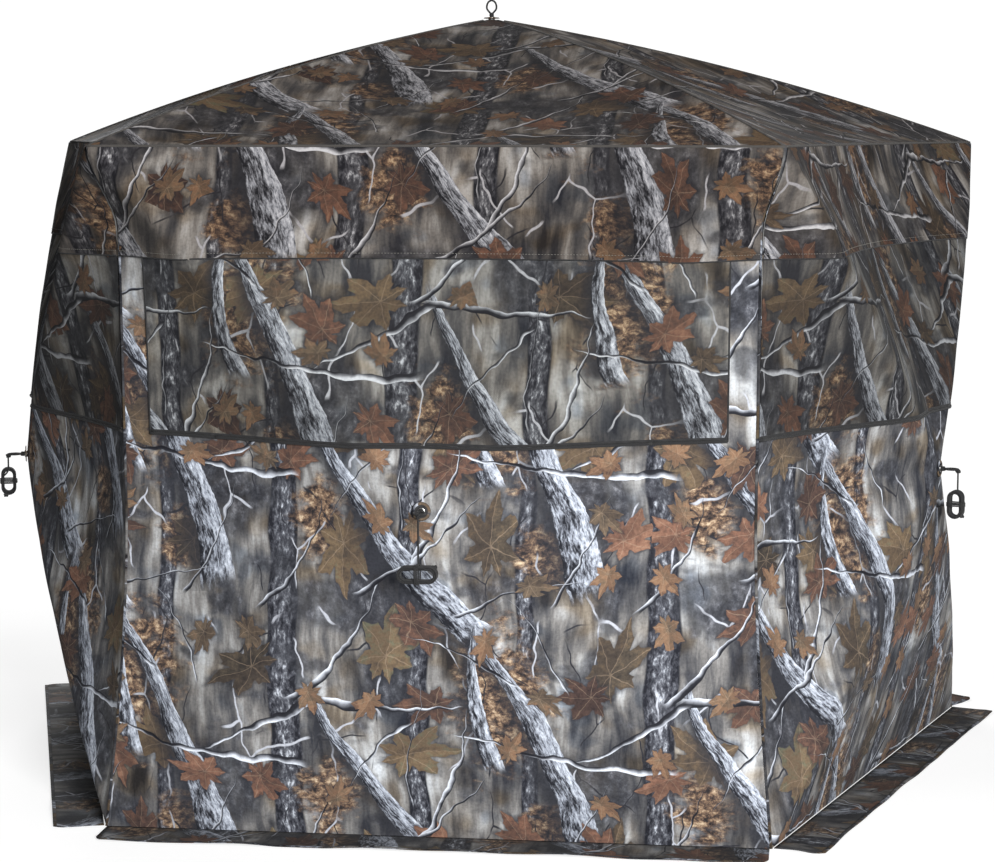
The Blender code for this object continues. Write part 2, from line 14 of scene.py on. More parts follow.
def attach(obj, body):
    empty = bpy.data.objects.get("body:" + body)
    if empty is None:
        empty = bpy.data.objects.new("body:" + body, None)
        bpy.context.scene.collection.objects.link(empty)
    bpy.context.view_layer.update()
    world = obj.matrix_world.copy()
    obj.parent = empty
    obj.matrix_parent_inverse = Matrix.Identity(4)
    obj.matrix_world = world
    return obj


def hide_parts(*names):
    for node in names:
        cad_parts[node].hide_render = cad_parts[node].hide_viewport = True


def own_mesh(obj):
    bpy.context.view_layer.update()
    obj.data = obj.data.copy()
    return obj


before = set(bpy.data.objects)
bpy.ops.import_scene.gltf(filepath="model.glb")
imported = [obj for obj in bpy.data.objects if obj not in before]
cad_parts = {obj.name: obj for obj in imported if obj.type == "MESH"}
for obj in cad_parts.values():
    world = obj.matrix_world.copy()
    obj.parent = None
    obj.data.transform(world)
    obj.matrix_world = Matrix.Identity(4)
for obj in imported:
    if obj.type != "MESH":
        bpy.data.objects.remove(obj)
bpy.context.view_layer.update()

# The shell's sizes, as in the CAD model
SIDES = 5
EAVE_HEIGHT = 1.48
BASE_SIDE = 1.449
EAVE_SIDE = 1.468
CENTRE_Y = -0.0607
EDGE_GAP = 0.004
ROOF_RISE = 0.302
ROOF_ARCH = 0.029
ROOF_HOLLOW = 0.030
ROOF_HOLE = 0.010
HUB_SHARE = 0.496
WALL_BULGE = 0.143
WALL_POLE_BOW = 0.015
RIDGE_SHARPNESS = 10.0
HOLLOW_POWER = 1.3
SEAM_BOW = 0.079
SEAM_FLARE = 0.12
EAVE_BOW = 0.055
WINDOW_LOW = 0.583
WINDOW_HIGH = 0.840
FRONT_WINDOW_SPAN = 0.85
SKIRT_DEPTH = 0.11
HUB_PIVOT_RADIUS = 0.030
HUB_PIVOT_DEPTH = -0.023
WALL_TIP_INSET = 0.034
WALL_TIP_DEPTH = -0.016
ROOF_TIP_INSET = 0.048
ROOF_TIP_DROP = 0.020
LOOP_CENTRE = 0.029
LOOP_HALF = (0.012, 0.016)
LOOP_CORD = 0.0023
CORD_RADIUS = 0.002
CORD_START_DROP = 0.004
DOOR_WALL = 3
DOOR_GAP = 0.006

WALL_NAMES = ("front", "right", "rear_right", "rear_left", "left")
WINDOW_WALLS = (0, 1, 4)
CORNERS = (("top_left", -1, 1), ("top_right", 1, 1), ("bottom_left", -1, -1), ("bottom_right", 1, -1))

TURN = math.tau / SIDES
HALF_TURN = TURN / 2
TAN_HALF = math.tan(HALF_TURN)
BASE_APOTHEM = BASE_SIDE / 2 / TAN_HALF
EAVE_APOTHEM = EAVE_SIDE / 2 / TAN_HALF
EAVE_RADIUS = EAVE_APOTHEM / math.cos(HALF_TURN)
WALL_LENGTH = math.hypot(EAVE_HEIGHT, EAVE_APOTHEM - BASE_APOTHEM)
LEAN = (EAVE_APOTHEM - BASE_APOTHEM) / WALL_LENGTH
HUB_LENGTH = HUB_SHARE * WALL_LENGTH
UPPER = WALL_LENGTH - HUB_LENGTH
WINDOW_LOW_LEVEL = (WINDOW_LOW - HUB_SHARE) / (1 - HUB_SHARE)
WINDOW_HIGH_LEVEL = (WINDOW_HIGH - HUB_SHARE) / (1 - HUB_SHARE)
APEX = Vector((0.0, CENTRE_Y, EAVE_HEIGHT + ROOF_RISE))
UP = Vector((0, 0, 1))
OUT = Vector((0, 0, 1))

# Fabric layers and trims
CLOTH = 0.0012
MESH_LIFT = 0.0026
FLAP_LIFT = 0.0046
GRID = 38
WRINKLE = 0.0022
HOLE_LEVEL = 0.0135
BINDING = (0.0036, 0.0016)
PIPING_RADIUS = 0.0030
DOOR_TAPE = 0.0014
FACING_TAPE = (0.011, 0.0005)
FACING_LIFT = -0.0019
PROUD_DEPTH = 0.002


def smoothstep(value):
    value = min(1.0, max(0.0, value))
    return value * value * (3 - 2 * value)


# The shell's surface -------------------------------------------------------------------


def frame_matrix(x_axis, y_axis, z_axis, origin):
    rotation = Matrix((x_axis, y_axis, z_axis)).transposed().to_4x4()
    return Matrix.Translation(origin) @ rotation


def wall_axes(index):
    angle = -math.pi / 2 + TURN * index
    out = Vector((math.cos(angle), math.sin(angle), 0))
    along = Vector((-math.sin(angle), math.cos(angle), 0))
    return out, along


def wall_frame(index):
    """x along the wall, y up it and z out of it, from the middle of its bottom edge."""
    out, along = wall_axes(index)
    up = (out * (EAVE_APOTHEM - BASE_APOTHEM) + UP * EAVE_HEIGHT).normalized()
    origin = Vector((0, CENTRE_Y, 0)) + out * BASE_APOTHEM
    return frame_matrix(along, up, along.cross(up), origin)


def wall_hub_frame(index):
    return wall_frame(index) @ Matrix.Translation((0, HUB_LENGTH, WALL_BULGE))


def roof_hub_frame():
    return Matrix.Translation(APEX)


def seam_bow(up):
    share = up / WALL_LENGTH
    rise = math.sin(math.pi / 2 * min(1.0, share / 0.5))
    return SEAM_BOW * rise * smoothstep((1 - share) / SEAM_FLARE)


def flat_half(up):
    return TAN_HALF * (BASE_APOTHEM + up * LEAN)


def seam_depth(up):
    return -seam_bow(up) * math.cos(HALF_TURN)


def seam_half(up):
    return flat_half(up) + TAN_HALF * seam_depth(up)


def eave_bow(across):
    return EAVE_BOW * (1 - min(1.0, (2 * across / EAVE_SIDE) ** 2))


def wall_depth(across, up):
    """How far the fabric stands out of the flat panel between its four corners."""
    p = min(1.0, abs(across) / flat_half(up))
    above = up > HUB_LENGTH
    q = min(1.0, (up - HUB_LENGTH) / UPPER if above else (HUB_LENGTH - up) / HUB_LENGTH)
    a, c = 1 - p, 1 - q
    k = RIDGE_SHARPNESS
    t = 2 ** (1 / k) * a * c / (a**k + c**k) ** (1 / k) if a > 0 and c > 0 else 0.0
    depth = WALL_BULGE * t + WALL_POLE_BOW * 4 * t * (1 - t)
    if p > q:
        seam = seam_half(up) / flat_half(up)
        share = min(1.0, (p - q) / (seam - q)) ** HOLLOW_POWER
        depth += (seam_depth(up) - depth) * share
    elif q > p and above:
        depth -= (depth + eave_bow(across)) * ((q - p) / (1 - p)) ** HOLLOW_POWER
    return depth


def cloth_depth(across, up):
    """The wall's depth with the slight unevenness of stretched cloth, none near its edges."""
    depth = wall_depth(across, up)
    if depth <= 0:
        return depth
    wide = noise.noise(Vector((across * 5, up * 5, 3.1)))
    fine = noise.noise(Vector((across * 13, up * 9, 7.7)))
    near_hub = math.hypot(across, up - HUB_LENGTH) / 0.12
    share = smoothstep(depth / 0.04) * smoothstep(near_hub)
    return depth + WRINKLE * (wide + 0.5 * fine) * share


def cloth_normal(across, up):
    step = 0.004
    dx = cloth_depth(across + step, up) - cloth_depth(across - step, up)
    dy = cloth_depth(across, up + step) - cloth_depth(across, up - step)
    return Vector((-dx, -dy, 2 * step)).normalized()


def level_point(level_x, level_y):
    """Where two levels, -1 to 1 from the hub to each edge, fall on the panel."""
    up = HUB_LENGTH + level_y * (UPPER if level_y > 0 else HUB_LENGTH)
    up = min(up, WALL_LENGTH - EDGE_GAP)
    limit = seam_half(up) - EDGE_GAP
    return max(-limit, min(limit, level_x * flat_half(up))), up


def roof_point(index, reach, side):
    """A point of one roof facet: reach 0 at the apex to 1 at the eave, side -1 to 1 along it."""
    out, along = wall_axes(index)
    across = side * EAVE_SIDE / 2
    plan = (out * (EAVE_APOTHEM - eave_bow(across)) + along * across) * reach
    arch = ROOF_ARCH - (ROOF_ARCH + ROOF_HOLLOW) * (1 - side * side) * reach
    height = EAVE_HEIGHT + ROOF_RISE * (1 - reach) + arch * 4 * reach * (1 - reach)
    return Vector((plan.x, plan.y + CENTRE_Y, height))


# Materials -----------------------------------------------------------------------------


def linear(red, green, blue):
    """A colour given as 0 to 255 screen values, as the shader takes it."""
    made = []
    for value in (red, green, blue):
        value /= 255
        made.append(value / 12.92 if value <= 0.04045 else ((value + 0.055) / 1.055) ** 2.4)
    return (*made, 1.0)


class Nodes:
    """Adds shader nodes to one tree, with numbers or other nodes' outputs as their inputs."""

    def __init__(self, tree):
        self.tree = tree

    def add(self, kind, values=(), output=0, **settings):
        made = self.tree.nodes.new("ShaderNode" + kind)
        for name, value in settings.items():
            setattr(made, name, value)
        pairs = values.items() if isinstance(values, dict) else enumerate(values)
        for key, value in pairs:
            socket = made.inputs[key]
            if isinstance(value, bpy.types.NodeSocket):
                self.tree.links.new(value, socket)
            else:
                socket.default_value = value
        return made.outputs[output]

    def math(self, operation, *values):
        return self.add("Math", values, operation=operation)

    def times(self, first, second):
        return self.math("MULTIPLY", first, second)

    def times_add(self, value, factor, addend):
        return self.math("MULTIPLY_ADD", value, factor, addend)

    def sine(self, value):
        return self.math("SINE", value)

    def magnitude(self, value):
        return self.math("ABSOLUTE", value)

    def cloth_place(self):
        """The place on the cloth, in metres, from the piece's own map."""
        return self.add("UVMap", uv_map="cloth")

    def object_place(self):
        return self.tree.nodes.new("ShaderNodeTexCoord").outputs["Object"]

    def vector(self, operation, *values):
        output = 1 if operation in ("DOT_PRODUCT", "LENGTH") else 0
        return self.add("VectorMath", values, output, operation=operation)

    def scaled(self, vector, size):
        return self.vector("MULTIPLY", vector, size)

    def noise(self, vector, scale, detail=2.0, roughness=0.5, output=0):
        values = {"Vector": vector, "Scale": scale, "Detail": detail, "Roughness": roughness}
        return self.add("TexNoise", values, output)

    def smooth(self, value, low, high):
        values = {"Value": value, "From Min": low, "From Max": high}
        return self.add("MapRange", values, interpolation_type="SMOOTHSTEP")

    def mix(self, share, first, second, blend="MIX"):
        values = {0: share, 6: first, 7: second}
        return self.add("Mix", values, 2, data_type="RGBA", blend_type=blend)

    def ramp(self, value, stops):
        made = self.tree.nodes.new("ShaderNodeValToRGB")
        points = made.color_ramp.elements
        while len(points) < len(stops):
            points.new(1.0)
        for point, (place, colour) in zip(points, stops):
            point.position = place
            point.color = linear(*colour)
        self.tree.links.new(value, made.inputs[0])
        return made.outputs[0]

    def parts(self, vector):
        made = self.tree.nodes.new("ShaderNodeSeparateXYZ")
        self.tree.links.new(vector, made.inputs[0])
        return made.outputs

    def glow(self, lighting, seen):
        """One strength as light on other things, and another as the camera sees it."""
        camera_ray = self.add("LightPath", output="Is Camera Ray")
        return self.add("MapRange", {"Value": camera_ray, "To Min": lighting, "To Max": seen})

    def bump(self, height, strength, distance):
        values = {"Strength": strength, "Distance": distance, "Height": height}
        return self.add("Bump", values)


# The print: one repeat of bark, limbs, twigs and leaves
TILE = (0.80, 0.62, 1.0)
# Middle x and y, angle in degrees, length, width, bend
LIMBS = (
    (0.62, 0.33, 114, 0.64, 0.052, 0.40),
    (0.27, 0.19, 127, 0.66, 0.046, -0.30),
    (0.47, 0.44, 96, 0.36, 0.030, -0.70),
)
TWIGS = (
    (0.27, 0.415, -3, 0.36, 0.0125, 0.20),
    (0.20, 0.545, 52, 0.36, 0.0100, 0.90),
    (0.00, 0.360, 208, 0.28, 0.0120, -0.30),
    (0.66, 0.300, 172, 0.50, 0.0115, -0.30),
    (0.42, 0.250, 70, 0.34, 0.0090, 0.80),
    (0.37, 0.130, 38, 0.34, 0.0085, 0.90),
    (0.10, 0.100, 60, 0.30, 0.0080, 1.20),
    (0.70, 0.130, 64, 0.28, 0.0060, 0.60),
    (0.45, 0.540, 156, 0.28, 0.0060, 1.10),
    (0.24, 0.300, 230, 0.26, 0.0060, 0.80),
    (0.56, 0.050, 12, 0.30, 0.0055, -0.60),
    (0.62, 0.560, 118, 0.24, 0.0045, 0.90),
    (0.33, 0.330, 83, 0.30, 0.0045, -0.90),
)
# Middle and width of each trunk
TRUNKS = ((0.06, 0.064), (0.345, 0.050), (0.585, 0.036))
# Middle x and y and half sizes
GOLD = ((0.525, 0.440, 0.105, 0.180), (0.150, 0.200, 0.070, 0.095), (0.620, 0.130, 0.065, 0.070))
SHADE = ((0.70, 0.22, 0.110, 0.110), (0.20, 0.02, 0.150, 0.065), (0.29, 0.50, 0.055, 0.100))
RUST = ((0.0, (54, 45, 44)), (0.35, (86, 68, 60)), (0.65, (120, 88, 72)), (1.0, (150, 114, 92)))
OAK = ((0.0, (54, 50, 46)), (0.35, (82, 73, 62)), (0.7, (116, 98, 76)), (1.0, (104, 104, 84)))
LEAF_LOBES = 7
OCHRE = ((0.0, (66, 60, 54)), (0.4, (104, 90, 74)), (0.75, (136, 106, 82)), (1.0, (96, 74, 62)))


def around(n, point, x, y):
    """The point measured from the nearest repeat of x, y."""
    shifted = n.vector("SUBTRACT", point, (x, y, 0))
    half = Vector(TILE) / 2
    return n.vector("WRAP", shifted, tuple(half), tuple(-half))


def stroke(n, point, middle_x, middle_y, angle, length, width, bend):
    """Distance along and across a bent, tapering limb, and the share of it at the point."""
    turn = math.radians(angle)
    near = around(n, point, middle_x, middle_y)
    along = n.vector("DOT_PRODUCT", near, (math.cos(turn), math.sin(turn), 0))
    across = n.vector("DOT_PRODUCT", near, (-math.sin(turn), math.cos(turn), 0))
    bowed = n.times(n.times(along, along), bend)
    across = n.math("SUBTRACT", across, bowed)
    half = n.times_add(along, -0.7 * width / length, width / 2)
    side = n.math("DIVIDE", across, half)
    edge = n.math("SUBTRACT", half, n.magnitude(across))
    end = n.math("SUBTRACT", length / 2, n.magnitude(along))
    sharp = 0.0012
    inside = n.times(n.smooth(edge, 0, sharp), n.smooth(end, 0, length * 0.07))
    return along, side, inside


def add_limb(n, point, below, limb):
    along, side, inside = stroke(n, point, *limb)
    across = n.times(side, limb[4] / 2)
    bark_place = n.add("CombineXYZ", (along, across, limb[0] * 9))
    bark = n.noise(n.scaled(bark_place, (34, 170, 1)), 1.0, 4.0, 0.72)
    light = n.times_add(side, -0.10, -0.02)
    tone = n.math("ADD", bark, light)
    stops = ((0.36, (34, 35, 39)), (0.44, (92, 94, 99)), (0.52, (150, 155, 162)), (0.72, (226, 231, 236)))
    colour = n.ramp(tone, stops)
    shade = n.times(n.smooth(side, 3.4, 0.9), n.smooth(side, -1.0, 0.0))
    near_end = n.smooth(n.magnitude(along), limb[3] * 0.52, limb[3] * 0.36)
    below = n.mix(n.times(n.times(shade, near_end), 0.85), below, linear(46, 47, 51))
    return n.mix(inside, below, colour)


def add_twig(n, point, below, twig):
    along, side, inside = stroke(n, point, *twig)
    patchy = n.noise(n.add("CombineXYZ", (along, twig[0], twig[1])), 16.0, 2.0)
    tone = n.math("ADD", n.times_add(side, 0.42, -0.30), n.times(patchy, 1.5))
    stops = ((0.0, (30, 30, 34)), (0.34, (42, 43, 47)), (0.56, (124, 126, 130)), (0.86, (218, 222, 226)))
    colour = n.ramp(tone, stops)
    return n.mix(inside, below, colour)


def add_leaves(n, point, below, cell, size, presence, colours, shift):
    """One layer of lobed leaves, each turned and coloured at random in its cell."""
    moved = n.vector("ADD", point, (shift, shift * 0.7, 0))
    cells = n.tree.nodes.new("ShaderNodeTexVoronoi")
    cells.voronoi_dimensions = "2D"
    cells.inputs["Scale"].default_value = 1 / cell
    cells.inputs["Randomness"].default_value = 0.7
    n.tree.links.new(moved, cells.inputs["Vector"])
    chance = n.parts(cells.outputs["Color"])
    near = n.vector("SUBTRACT", moved, cells.outputs["Position"])
    flat = n.vector("MULTIPLY", near, (1 / size, 1 / size, 0))
    angle = n.times(chance[0], math.tau)
    values = {"Vector": flat, "Angle": angle}
    slender = n.vector("MULTIPLY", n.add("VectorRotate", values, rotation_type="Z_AXIS"), (1, 1.45, 0))
    turned = n.parts(slender)
    lobe_angle = n.times(n.math("ARCTAN2", turned[1], turned[0]), LEAF_LOBES / 2)
    notch = n.magnitude(n.sine(lobe_angle))
    tip = n.math("SUBTRACT", 1.0, n.math("POWER", notch, 2.2))
    teeth = n.magnitude(n.sine(n.times(lobe_angle, 3.0)))
    distance = n.vector("LENGTH", slender)
    forward = n.math("DIVIDE", turned[0], n.math("MAXIMUM", distance, 0.01))
    lobed = n.times_add(teeth, -0.12, n.times_add(tip, 0.36, 0.64))
    reach = n.times(lobed, n.times_add(forward, 0.26, 0.84))
    gap = n.math("SUBTRACT", reach, distance)
    present = n.math("LESS_THAN", chance[1], presence)
    inside = n.times(n.smooth(gap, 0.0, 0.04), present)
    halo = n.times(n.smooth(gap, -0.20, 0.02), n.times(present, 0.55))
    mottle = n.noise(point, 46.0, 4.0, 0.7)
    lit = n.times_add(chance[2], 0.60, n.times(distance, 0.22))
    tone = n.math("ADD", lit, n.times_add(mottle, 1.4, -0.62))
    colour = n.ramp(tone, colours)
    vein = n.smooth(n.times(notch, distance), 0.055, 0.015)
    colour = n.mix(n.times(vein, 0.30), colour, linear(172, 150, 126))
    folded = n.times(n.smooth(turned[1], -0.03, 0.03), 0.34)
    rim = n.times(n.smooth(gap, 0.16, 0.0), 0.30)
    colour = n.mix(n.math("MAXIMUM", rim, folded), colour, linear(52, 44, 42))
    below = n.mix(halo, below, linear(46, 46, 50))
    return n.mix(inside, below, colour)


def camo_group():
    """The print's colour at a place on the cloth, in metres."""
    tree = bpy.data.node_groups.new("woodland_print", "ShaderNodeTree")
    tree.interface.new_socket("Place", in_out="INPUT", socket_type="NodeSocketVector")
    tree.interface.new_socket("Color", in_out="OUTPUT", socket_type="NodeSocketColor")
    n = Nodes(tree)
    place = tree.nodes.new("NodeGroupInput").outputs[0]
    slow = n.vector("SUBTRACT", n.noise(place, 6.0, 1.0, output=1), (0.5, 0.5, 0.5))
    quick = n.vector("SUBTRACT", n.noise(place, 75.0, 1.0, output=1), (0.5, 0.5, 0.5))
    flat = n.vector("MULTIPLY", place, (1, 1, 0))
    warped = n.vector("MULTIPLY_ADD", slow, (0.040, 0.040, 0), flat)
    rough = n.vector("MULTIPLY_ADD", quick, (0.0050, 0.0050, 0), warped)
    kinks = n.vector("SUBTRACT", n.noise(place, 21.0, 1.0, output=1), (0.5, 0.5, 0.5))
    kinked = n.vector("MULTIPLY_ADD", kinks, (0.026, 0.026, 0), warped)
    frayed = n.vector("MULTIPLY_ADD", kinks, (0.016, 0.016, 0), rough)

    # Soft vertical light between the trees
    streak = n.noise(n.scaled(warped, (34, 6.0, 1)), 1.0, 4.0, 0.6)
    broad = n.noise(n.scaled(warped, (9.0, 5.0, 1)), 1.0, 2.0)
    tone = n.times_add(streak, 0.85, n.times_add(broad, 1.15, -0.50))
    stops = ((0.28, (52, 53, 57)), (0.42, (90, 89, 88)), (0.54, (124, 121, 116)), (0.66, (164, 163, 158)),
             (0.84, (206, 209, 208)))
    colour = n.ramp(tone, stops)
    tint = n.noise(warped, 8.0, 2.0)
    colour = n.mix(n.smooth(tint, 0.50, 0.66), colour, linear(216, 202, 184), "MULTIPLY")
    colour = n.mix(n.smooth(tint, 0.44, 0.34), colour, linear(206, 214, 226), "MULTIPLY")

    # Trunks, darker towards their edges
    bark = n.noise(n.scaled(rough, (105, 42, 1)), 1.0, 3.0, 0.7)
    stops = ((0.36, (34, 35, 40)), (0.50, (74, 75, 80)), (0.59, (112, 114, 118)), (0.72, (206, 210, 214)))
    for middle, width in TRUNKS:
        across = n.magnitude(n.parts(around(n, warped, middle, 0))[0])
        edge = n.math("SUBTRACT", width / 2, across)
        lit = n.times_add(n.smooth(edge, 0.0, width * 0.4), 0.16, -0.13)
        trunk_colour = n.ramp(n.math("ADD", bark, lit), stops)
        colour = n.mix(n.smooth(edge, -0.003, 0.003), colour, trunk_colour)

    # Charcoal shade
    dusk_tone = n.noise(n.scaled(rough, (40, 30, 1)), 1.0, 4.0, 0.7)
    stops = ((0.35, (38, 39, 43)), (0.50, (60, 61, 65)), (0.60, (84, 85, 89)), (0.74, (136, 137, 140)))
    dusk = n.ramp(dusk_tone, stops)
    for x, y, half_x, half_y in SHADE:
        near = n.scaled(around(n, warped, x, y), (1 / half_x, 1 / half_y, 0))
        depth = n.smooth(n.vector("LENGTH", near), 1.15, 0.70)
        colour = n.mix(n.times(depth, 0.84), colour, dusk)
    shade = n.noise(n.scaled(warped, (7.5, 11.0, 1)), 1.0, 3.0)
    colour = n.mix(n.times(n.smooth(shade, 0.53, 0.64), 0.78), colour, dusk)

    # Sunlit ground seen through the branches
    strokes = n.noise(n.scaled(frayed, (44, 52, 1)), 1.0, 5.0, 0.74)
    stops = ((0.40, (44, 41, 41)), (0.48, (88, 72, 62)), (0.55, (136, 111, 88)), (0.67, (212, 188, 154)))
    sunlit = n.ramp(strokes, stops)
    ragged = n.noise(n.scaled(warped, (18, 30, 1)), 1.0, 3.0, 0.6)
    for x, y, half_x, half_y in GOLD:
        near = n.scaled(around(n, warped, x, y), (1 / half_x, 1 / half_y, 0))
        far = n.times_add(ragged, 2.0, n.vector("LENGTH", near))
        colour = n.mix(n.smooth(far, 2.10, 1.50), colour, sunlit)

    # Fine twigs far off, dark ones and pale ones
    for scale, tone, shift in ((8.5, (46, 46, 50), 0.0), (6.5, (182, 184, 188), 0.37)):
        moved = n.vector("ADD", kinked, (shift, shift, 0))
        values = {"Vector": n.scaled(moved, (1.0, 0.62, 1)), "Scale": scale}
        web = n.add("TexVoronoi", values, feature="DISTANCE_TO_EDGE", voronoi_dimensions="2D")
        gaps = n.smooth(n.noise(moved, 7.0, 2.0), 0.50, 0.56)
        colour = n.mix(n.times(n.smooth(web, 0.016, 0.006), gaps), colour, linear(*tone))

    colour = add_leaves(n, frayed, colour, 0.235, 0.110, 0.40, OAK, 0.31)
    for limb in LIMBS:
        colour = add_limb(n, rough, colour, limb)
    colour = add_leaves(n, frayed, colour, 0.170, 0.082, 0.36, RUST, 0.87)
    for twig in TWIGS:
        colour = add_twig(n, kinked, colour, twig)
    colour = add_leaves(n, frayed, colour, 0.125, 0.052, 0.24, OCHRE, 1.53)
    grain = n.noise(flat, 170.0, 2.0, 0.6)
    grained = n.times(n.smooth(grain, 0.40, 0.68), 0.34)
    colour = n.mix(grained, colour, linear(176, 176, 178), "MULTIPLY")
    tree.links.new(colour, tree.nodes.new("NodeGroupOutput").inputs[0])
    return tree


def new_material(name, roughness, **sockets):
    """A material and its node helper, with its constant values on the shader itself."""
    made = bpy.data.materials.new(name)
    made.use_nodes = True
    shader = made.node_tree.nodes["Principled BSDF"]
    shader.inputs["Roughness"].default_value = roughness
    for key, value in sockets.items():
        shader.inputs[key.replace("_", " ")].default_value = value
    return made, Nodes(made.node_tree), shader


def link_shader(n, shader, colour=None, normal=None, roughness=None):
    for key, value in (("Base Color", colour), ("Normal", normal), ("Roughness", roughness)):
        if value is not None:
            n.tree.links.new(value, shader.inputs[key])


def camo_material(name, group, tint, interior_shade=0.0, mesh=False):
    """Printed cloth. For an open mesh, a flat dark tone is laid over the print, stronger in its holes:
    painted shade of the dark inside seen through the mesh.
    """
    made, n, shader = new_material(name, 0.90, Sheen_Weight=0.02, Specular_IOR_Level=0.10)
    uv = n.cloth_place()
    print_node = n.tree.nodes.new("ShaderNodeGroup")
    print_node.node_tree = group
    n.tree.links.new(uv, print_node.inputs[0])
    colour = n.mix(1.0, print_node.outputs[0], linear(*tint), "MULTIPLY")
    threads = 520 if mesh else 900
    grid = n.vector("MULTIPLY", uv, (threads * math.pi, threads * math.pi, 1))
    x, y, _ = n.parts(grid)
    cloth = n.times(n.sine(x), n.sine(y))
    crease = n.noise(uv, 16.0, 3.0, 0.55)
    if mesh:
        # Painted shade: the blind's dark inside, seen through the mesh's holes and as a flat tone over it
        hole = n.smooth(cloth, 0.30, 0.75)
        shade_through_mesh = n.times_add(hole, 0.25, interior_shade)
        colour = n.mix(shade_through_mesh, colour, linear(38, 38, 40))
    worn = n.noise(uv, 3.0, 2.0)
    faded = n.times(n.smooth(worn, 0.45, 0.75), 0.16)
    colour = n.mix(faded, colour, linear(150, 150, 150), "OVERLAY")
    height = n.times_add(cloth, 0.03, crease)
    link_shader(n, shader, colour, n.bump(height, 0.35, 0.004))
    return made


def lining_material():
    made, n, shader = new_material("lining_black", 0.62, Sheen_Weight=0.05)
    uv = n.cloth_place()
    crease = n.noise(uv, 20.0, 3.0)
    x, y, _ = n.parts(n.vector("MULTIPLY", uv, (2800, 2800, 1)))
    cloth = n.times(n.sine(x), n.sine(y))
    colour = n.ramp(crease, ((0.3, (24, 24, 26)), (0.7, (40, 40, 43))))
    link_shader(n, shader, colour, n.bump(n.times_add(cloth, 0.05, crease), 0.4, 0.003))
    return made


def tape_material(name, dark, pale, rib):
    """Woven tape: ribs across its length, and a fine selvedge tone."""
    made, n, shader = new_material(name, 0.85, Sheen_Weight=0.05)
    uv = n.cloth_place()
    x, y, _ = n.parts(uv)
    ribs = n.sine(n.times(x, math.tau / rib))
    lines = n.sine(n.times(y, math.tau / (rib * 1.4)))
    height = n.times_add(ribs, 0.5, n.times(lines, 0.35))
    wear = n.noise(uv, 60.0, 3.0)
    colour = n.ramp(n.times_add(height, 0.12, wear), ((0.3, dark), (0.75, pale)))
    link_shader(n, shader, colour, n.bump(height, 0.5, 0.0006))
    return made


def braid_material(name, dark, pale, pitch, turns):
    """Braided cord: two sets of strands that cross round it."""
    made, n, shader = new_material(name, 0.78, Sheen_Weight=0.05)
    uv = n.cloth_place()
    x, y, _ = n.parts(uv)
    length = n.times(x, math.tau / pitch)
    round_it = n.times(y, math.tau * turns)
    first = n.sine(n.math("ADD", length, round_it))
    second = n.sine(n.math("SUBTRACT", length, round_it))
    height = n.times(first, second)
    fluff = n.noise(uv, 300.0, 2.0)
    tone = n.times_add(height, 0.25, fluff)
    colour = n.ramp(tone, ((0.3, dark), (0.8, pale)))
    link_shader(n, shader, colour, n.bump(height, 0.8, 0.0005))
    return made


def solid_material(name, dark, pale, scale, roughness, bump=0.15, **sockets):
    """Moulded plastic or metal: a fine grain in colour, gloss and surface."""
    made, n, shader = new_material(name, roughness, **sockets)
    place = n.object_place()
    grain = n.noise(place, scale, 3.0, 0.6)
    wear = n.noise(place, scale / 9, 2.0)
    tone = n.times_add(grain, 0.35, n.times(wear, 0.65))
    colour = n.ramp(tone, ((0.3, dark), (0.7, pale)))
    low, high = roughness - 0.10, roughness + 0.12
    values = {"Value": wear, "From Min": 0.3, "From Max": 0.7, "To Min": low, "To Max": high}
    gloss = n.add("MapRange", values)
    link_shader(n, shader, colour, n.bump(grain, bump, 0.0004), gloss)
    return made


def rod_material():
    """Pulled fibreglass rod: fine streaks along it under a clear skin."""
    made, n, shader = new_material("fibreglass_rod", 0.32, Coat_Weight=0.4, Coat_Roughness=0.15)
    uv = n.cloth_place()
    streak = n.noise(n.vector("MULTIPLY", uv, (9, 70, 1)), 1.0, 3.0)
    colour = n.ramp(streak, ((0.3, (22, 22, 24)), (0.7, (52, 52, 56))))
    link_shader(n, shader, colour, n.bump(streak, 0.25, 0.0003))
    return made


def make_materials():
    group = camo_group()
    metal = {"Metallic": 1.0}
    made = {
        "panel": camo_material("camo_panel", group, (246, 248, 255)),
        "band": camo_material("camo_band", group, (190, 184, 182)),
        "roof": camo_material("camo_roof", group, (204, 196, 193)),
        # The mesh's dark tone is painted shade from the inside; the side windows' copy, darker in tint and
        # tone, is painted shade for walls turned from the light
        "mesh": camo_material("camo_mesh", group, (216, 216, 216), 0.14, mesh=True),
        "side_mesh_shaded": camo_material("camo_side_mesh_shaded", group, (188, 187, 187), 0.18, mesh=True),
        "skirt": camo_material("camo_skirt", group, (184, 185, 190)),
        "lining": lining_material(),
        "binding": tape_material("binding_tape", (12, 12, 13), (34, 34, 36), 0.0022),
        "piping": tape_material("piping_tape", (40, 38, 37), (78, 74, 70), 0.0022),
        "thread": tape_material("sewing_thread", (96, 94, 88), (150, 148, 140), 0.0012),
        "cord": braid_material("cord_braid", (8, 8, 9), (28, 28, 30), 0.0056, 3),
        "plastic": solid_material("hub_moulding", (18, 18, 19), (34, 34, 36), 900, 0.42),
        "steel": solid_material("ferrule_metal", (96, 98, 102), (150, 152, 156), 1400, 0.34, **metal),
        "nickel": solid_material("grommet_metal", (150, 150, 150), (214, 214, 212), 1600, 0.26, **metal),
        "zip": solid_material("zip_metal", (40, 40, 42), (78, 78, 82), 1500, 0.36, Metallic=0.9),
        "rod": rod_material(),
    }
    return made


MATERIALS = make_materials()


# Mesh helpers --------------------------------------------------------------------------


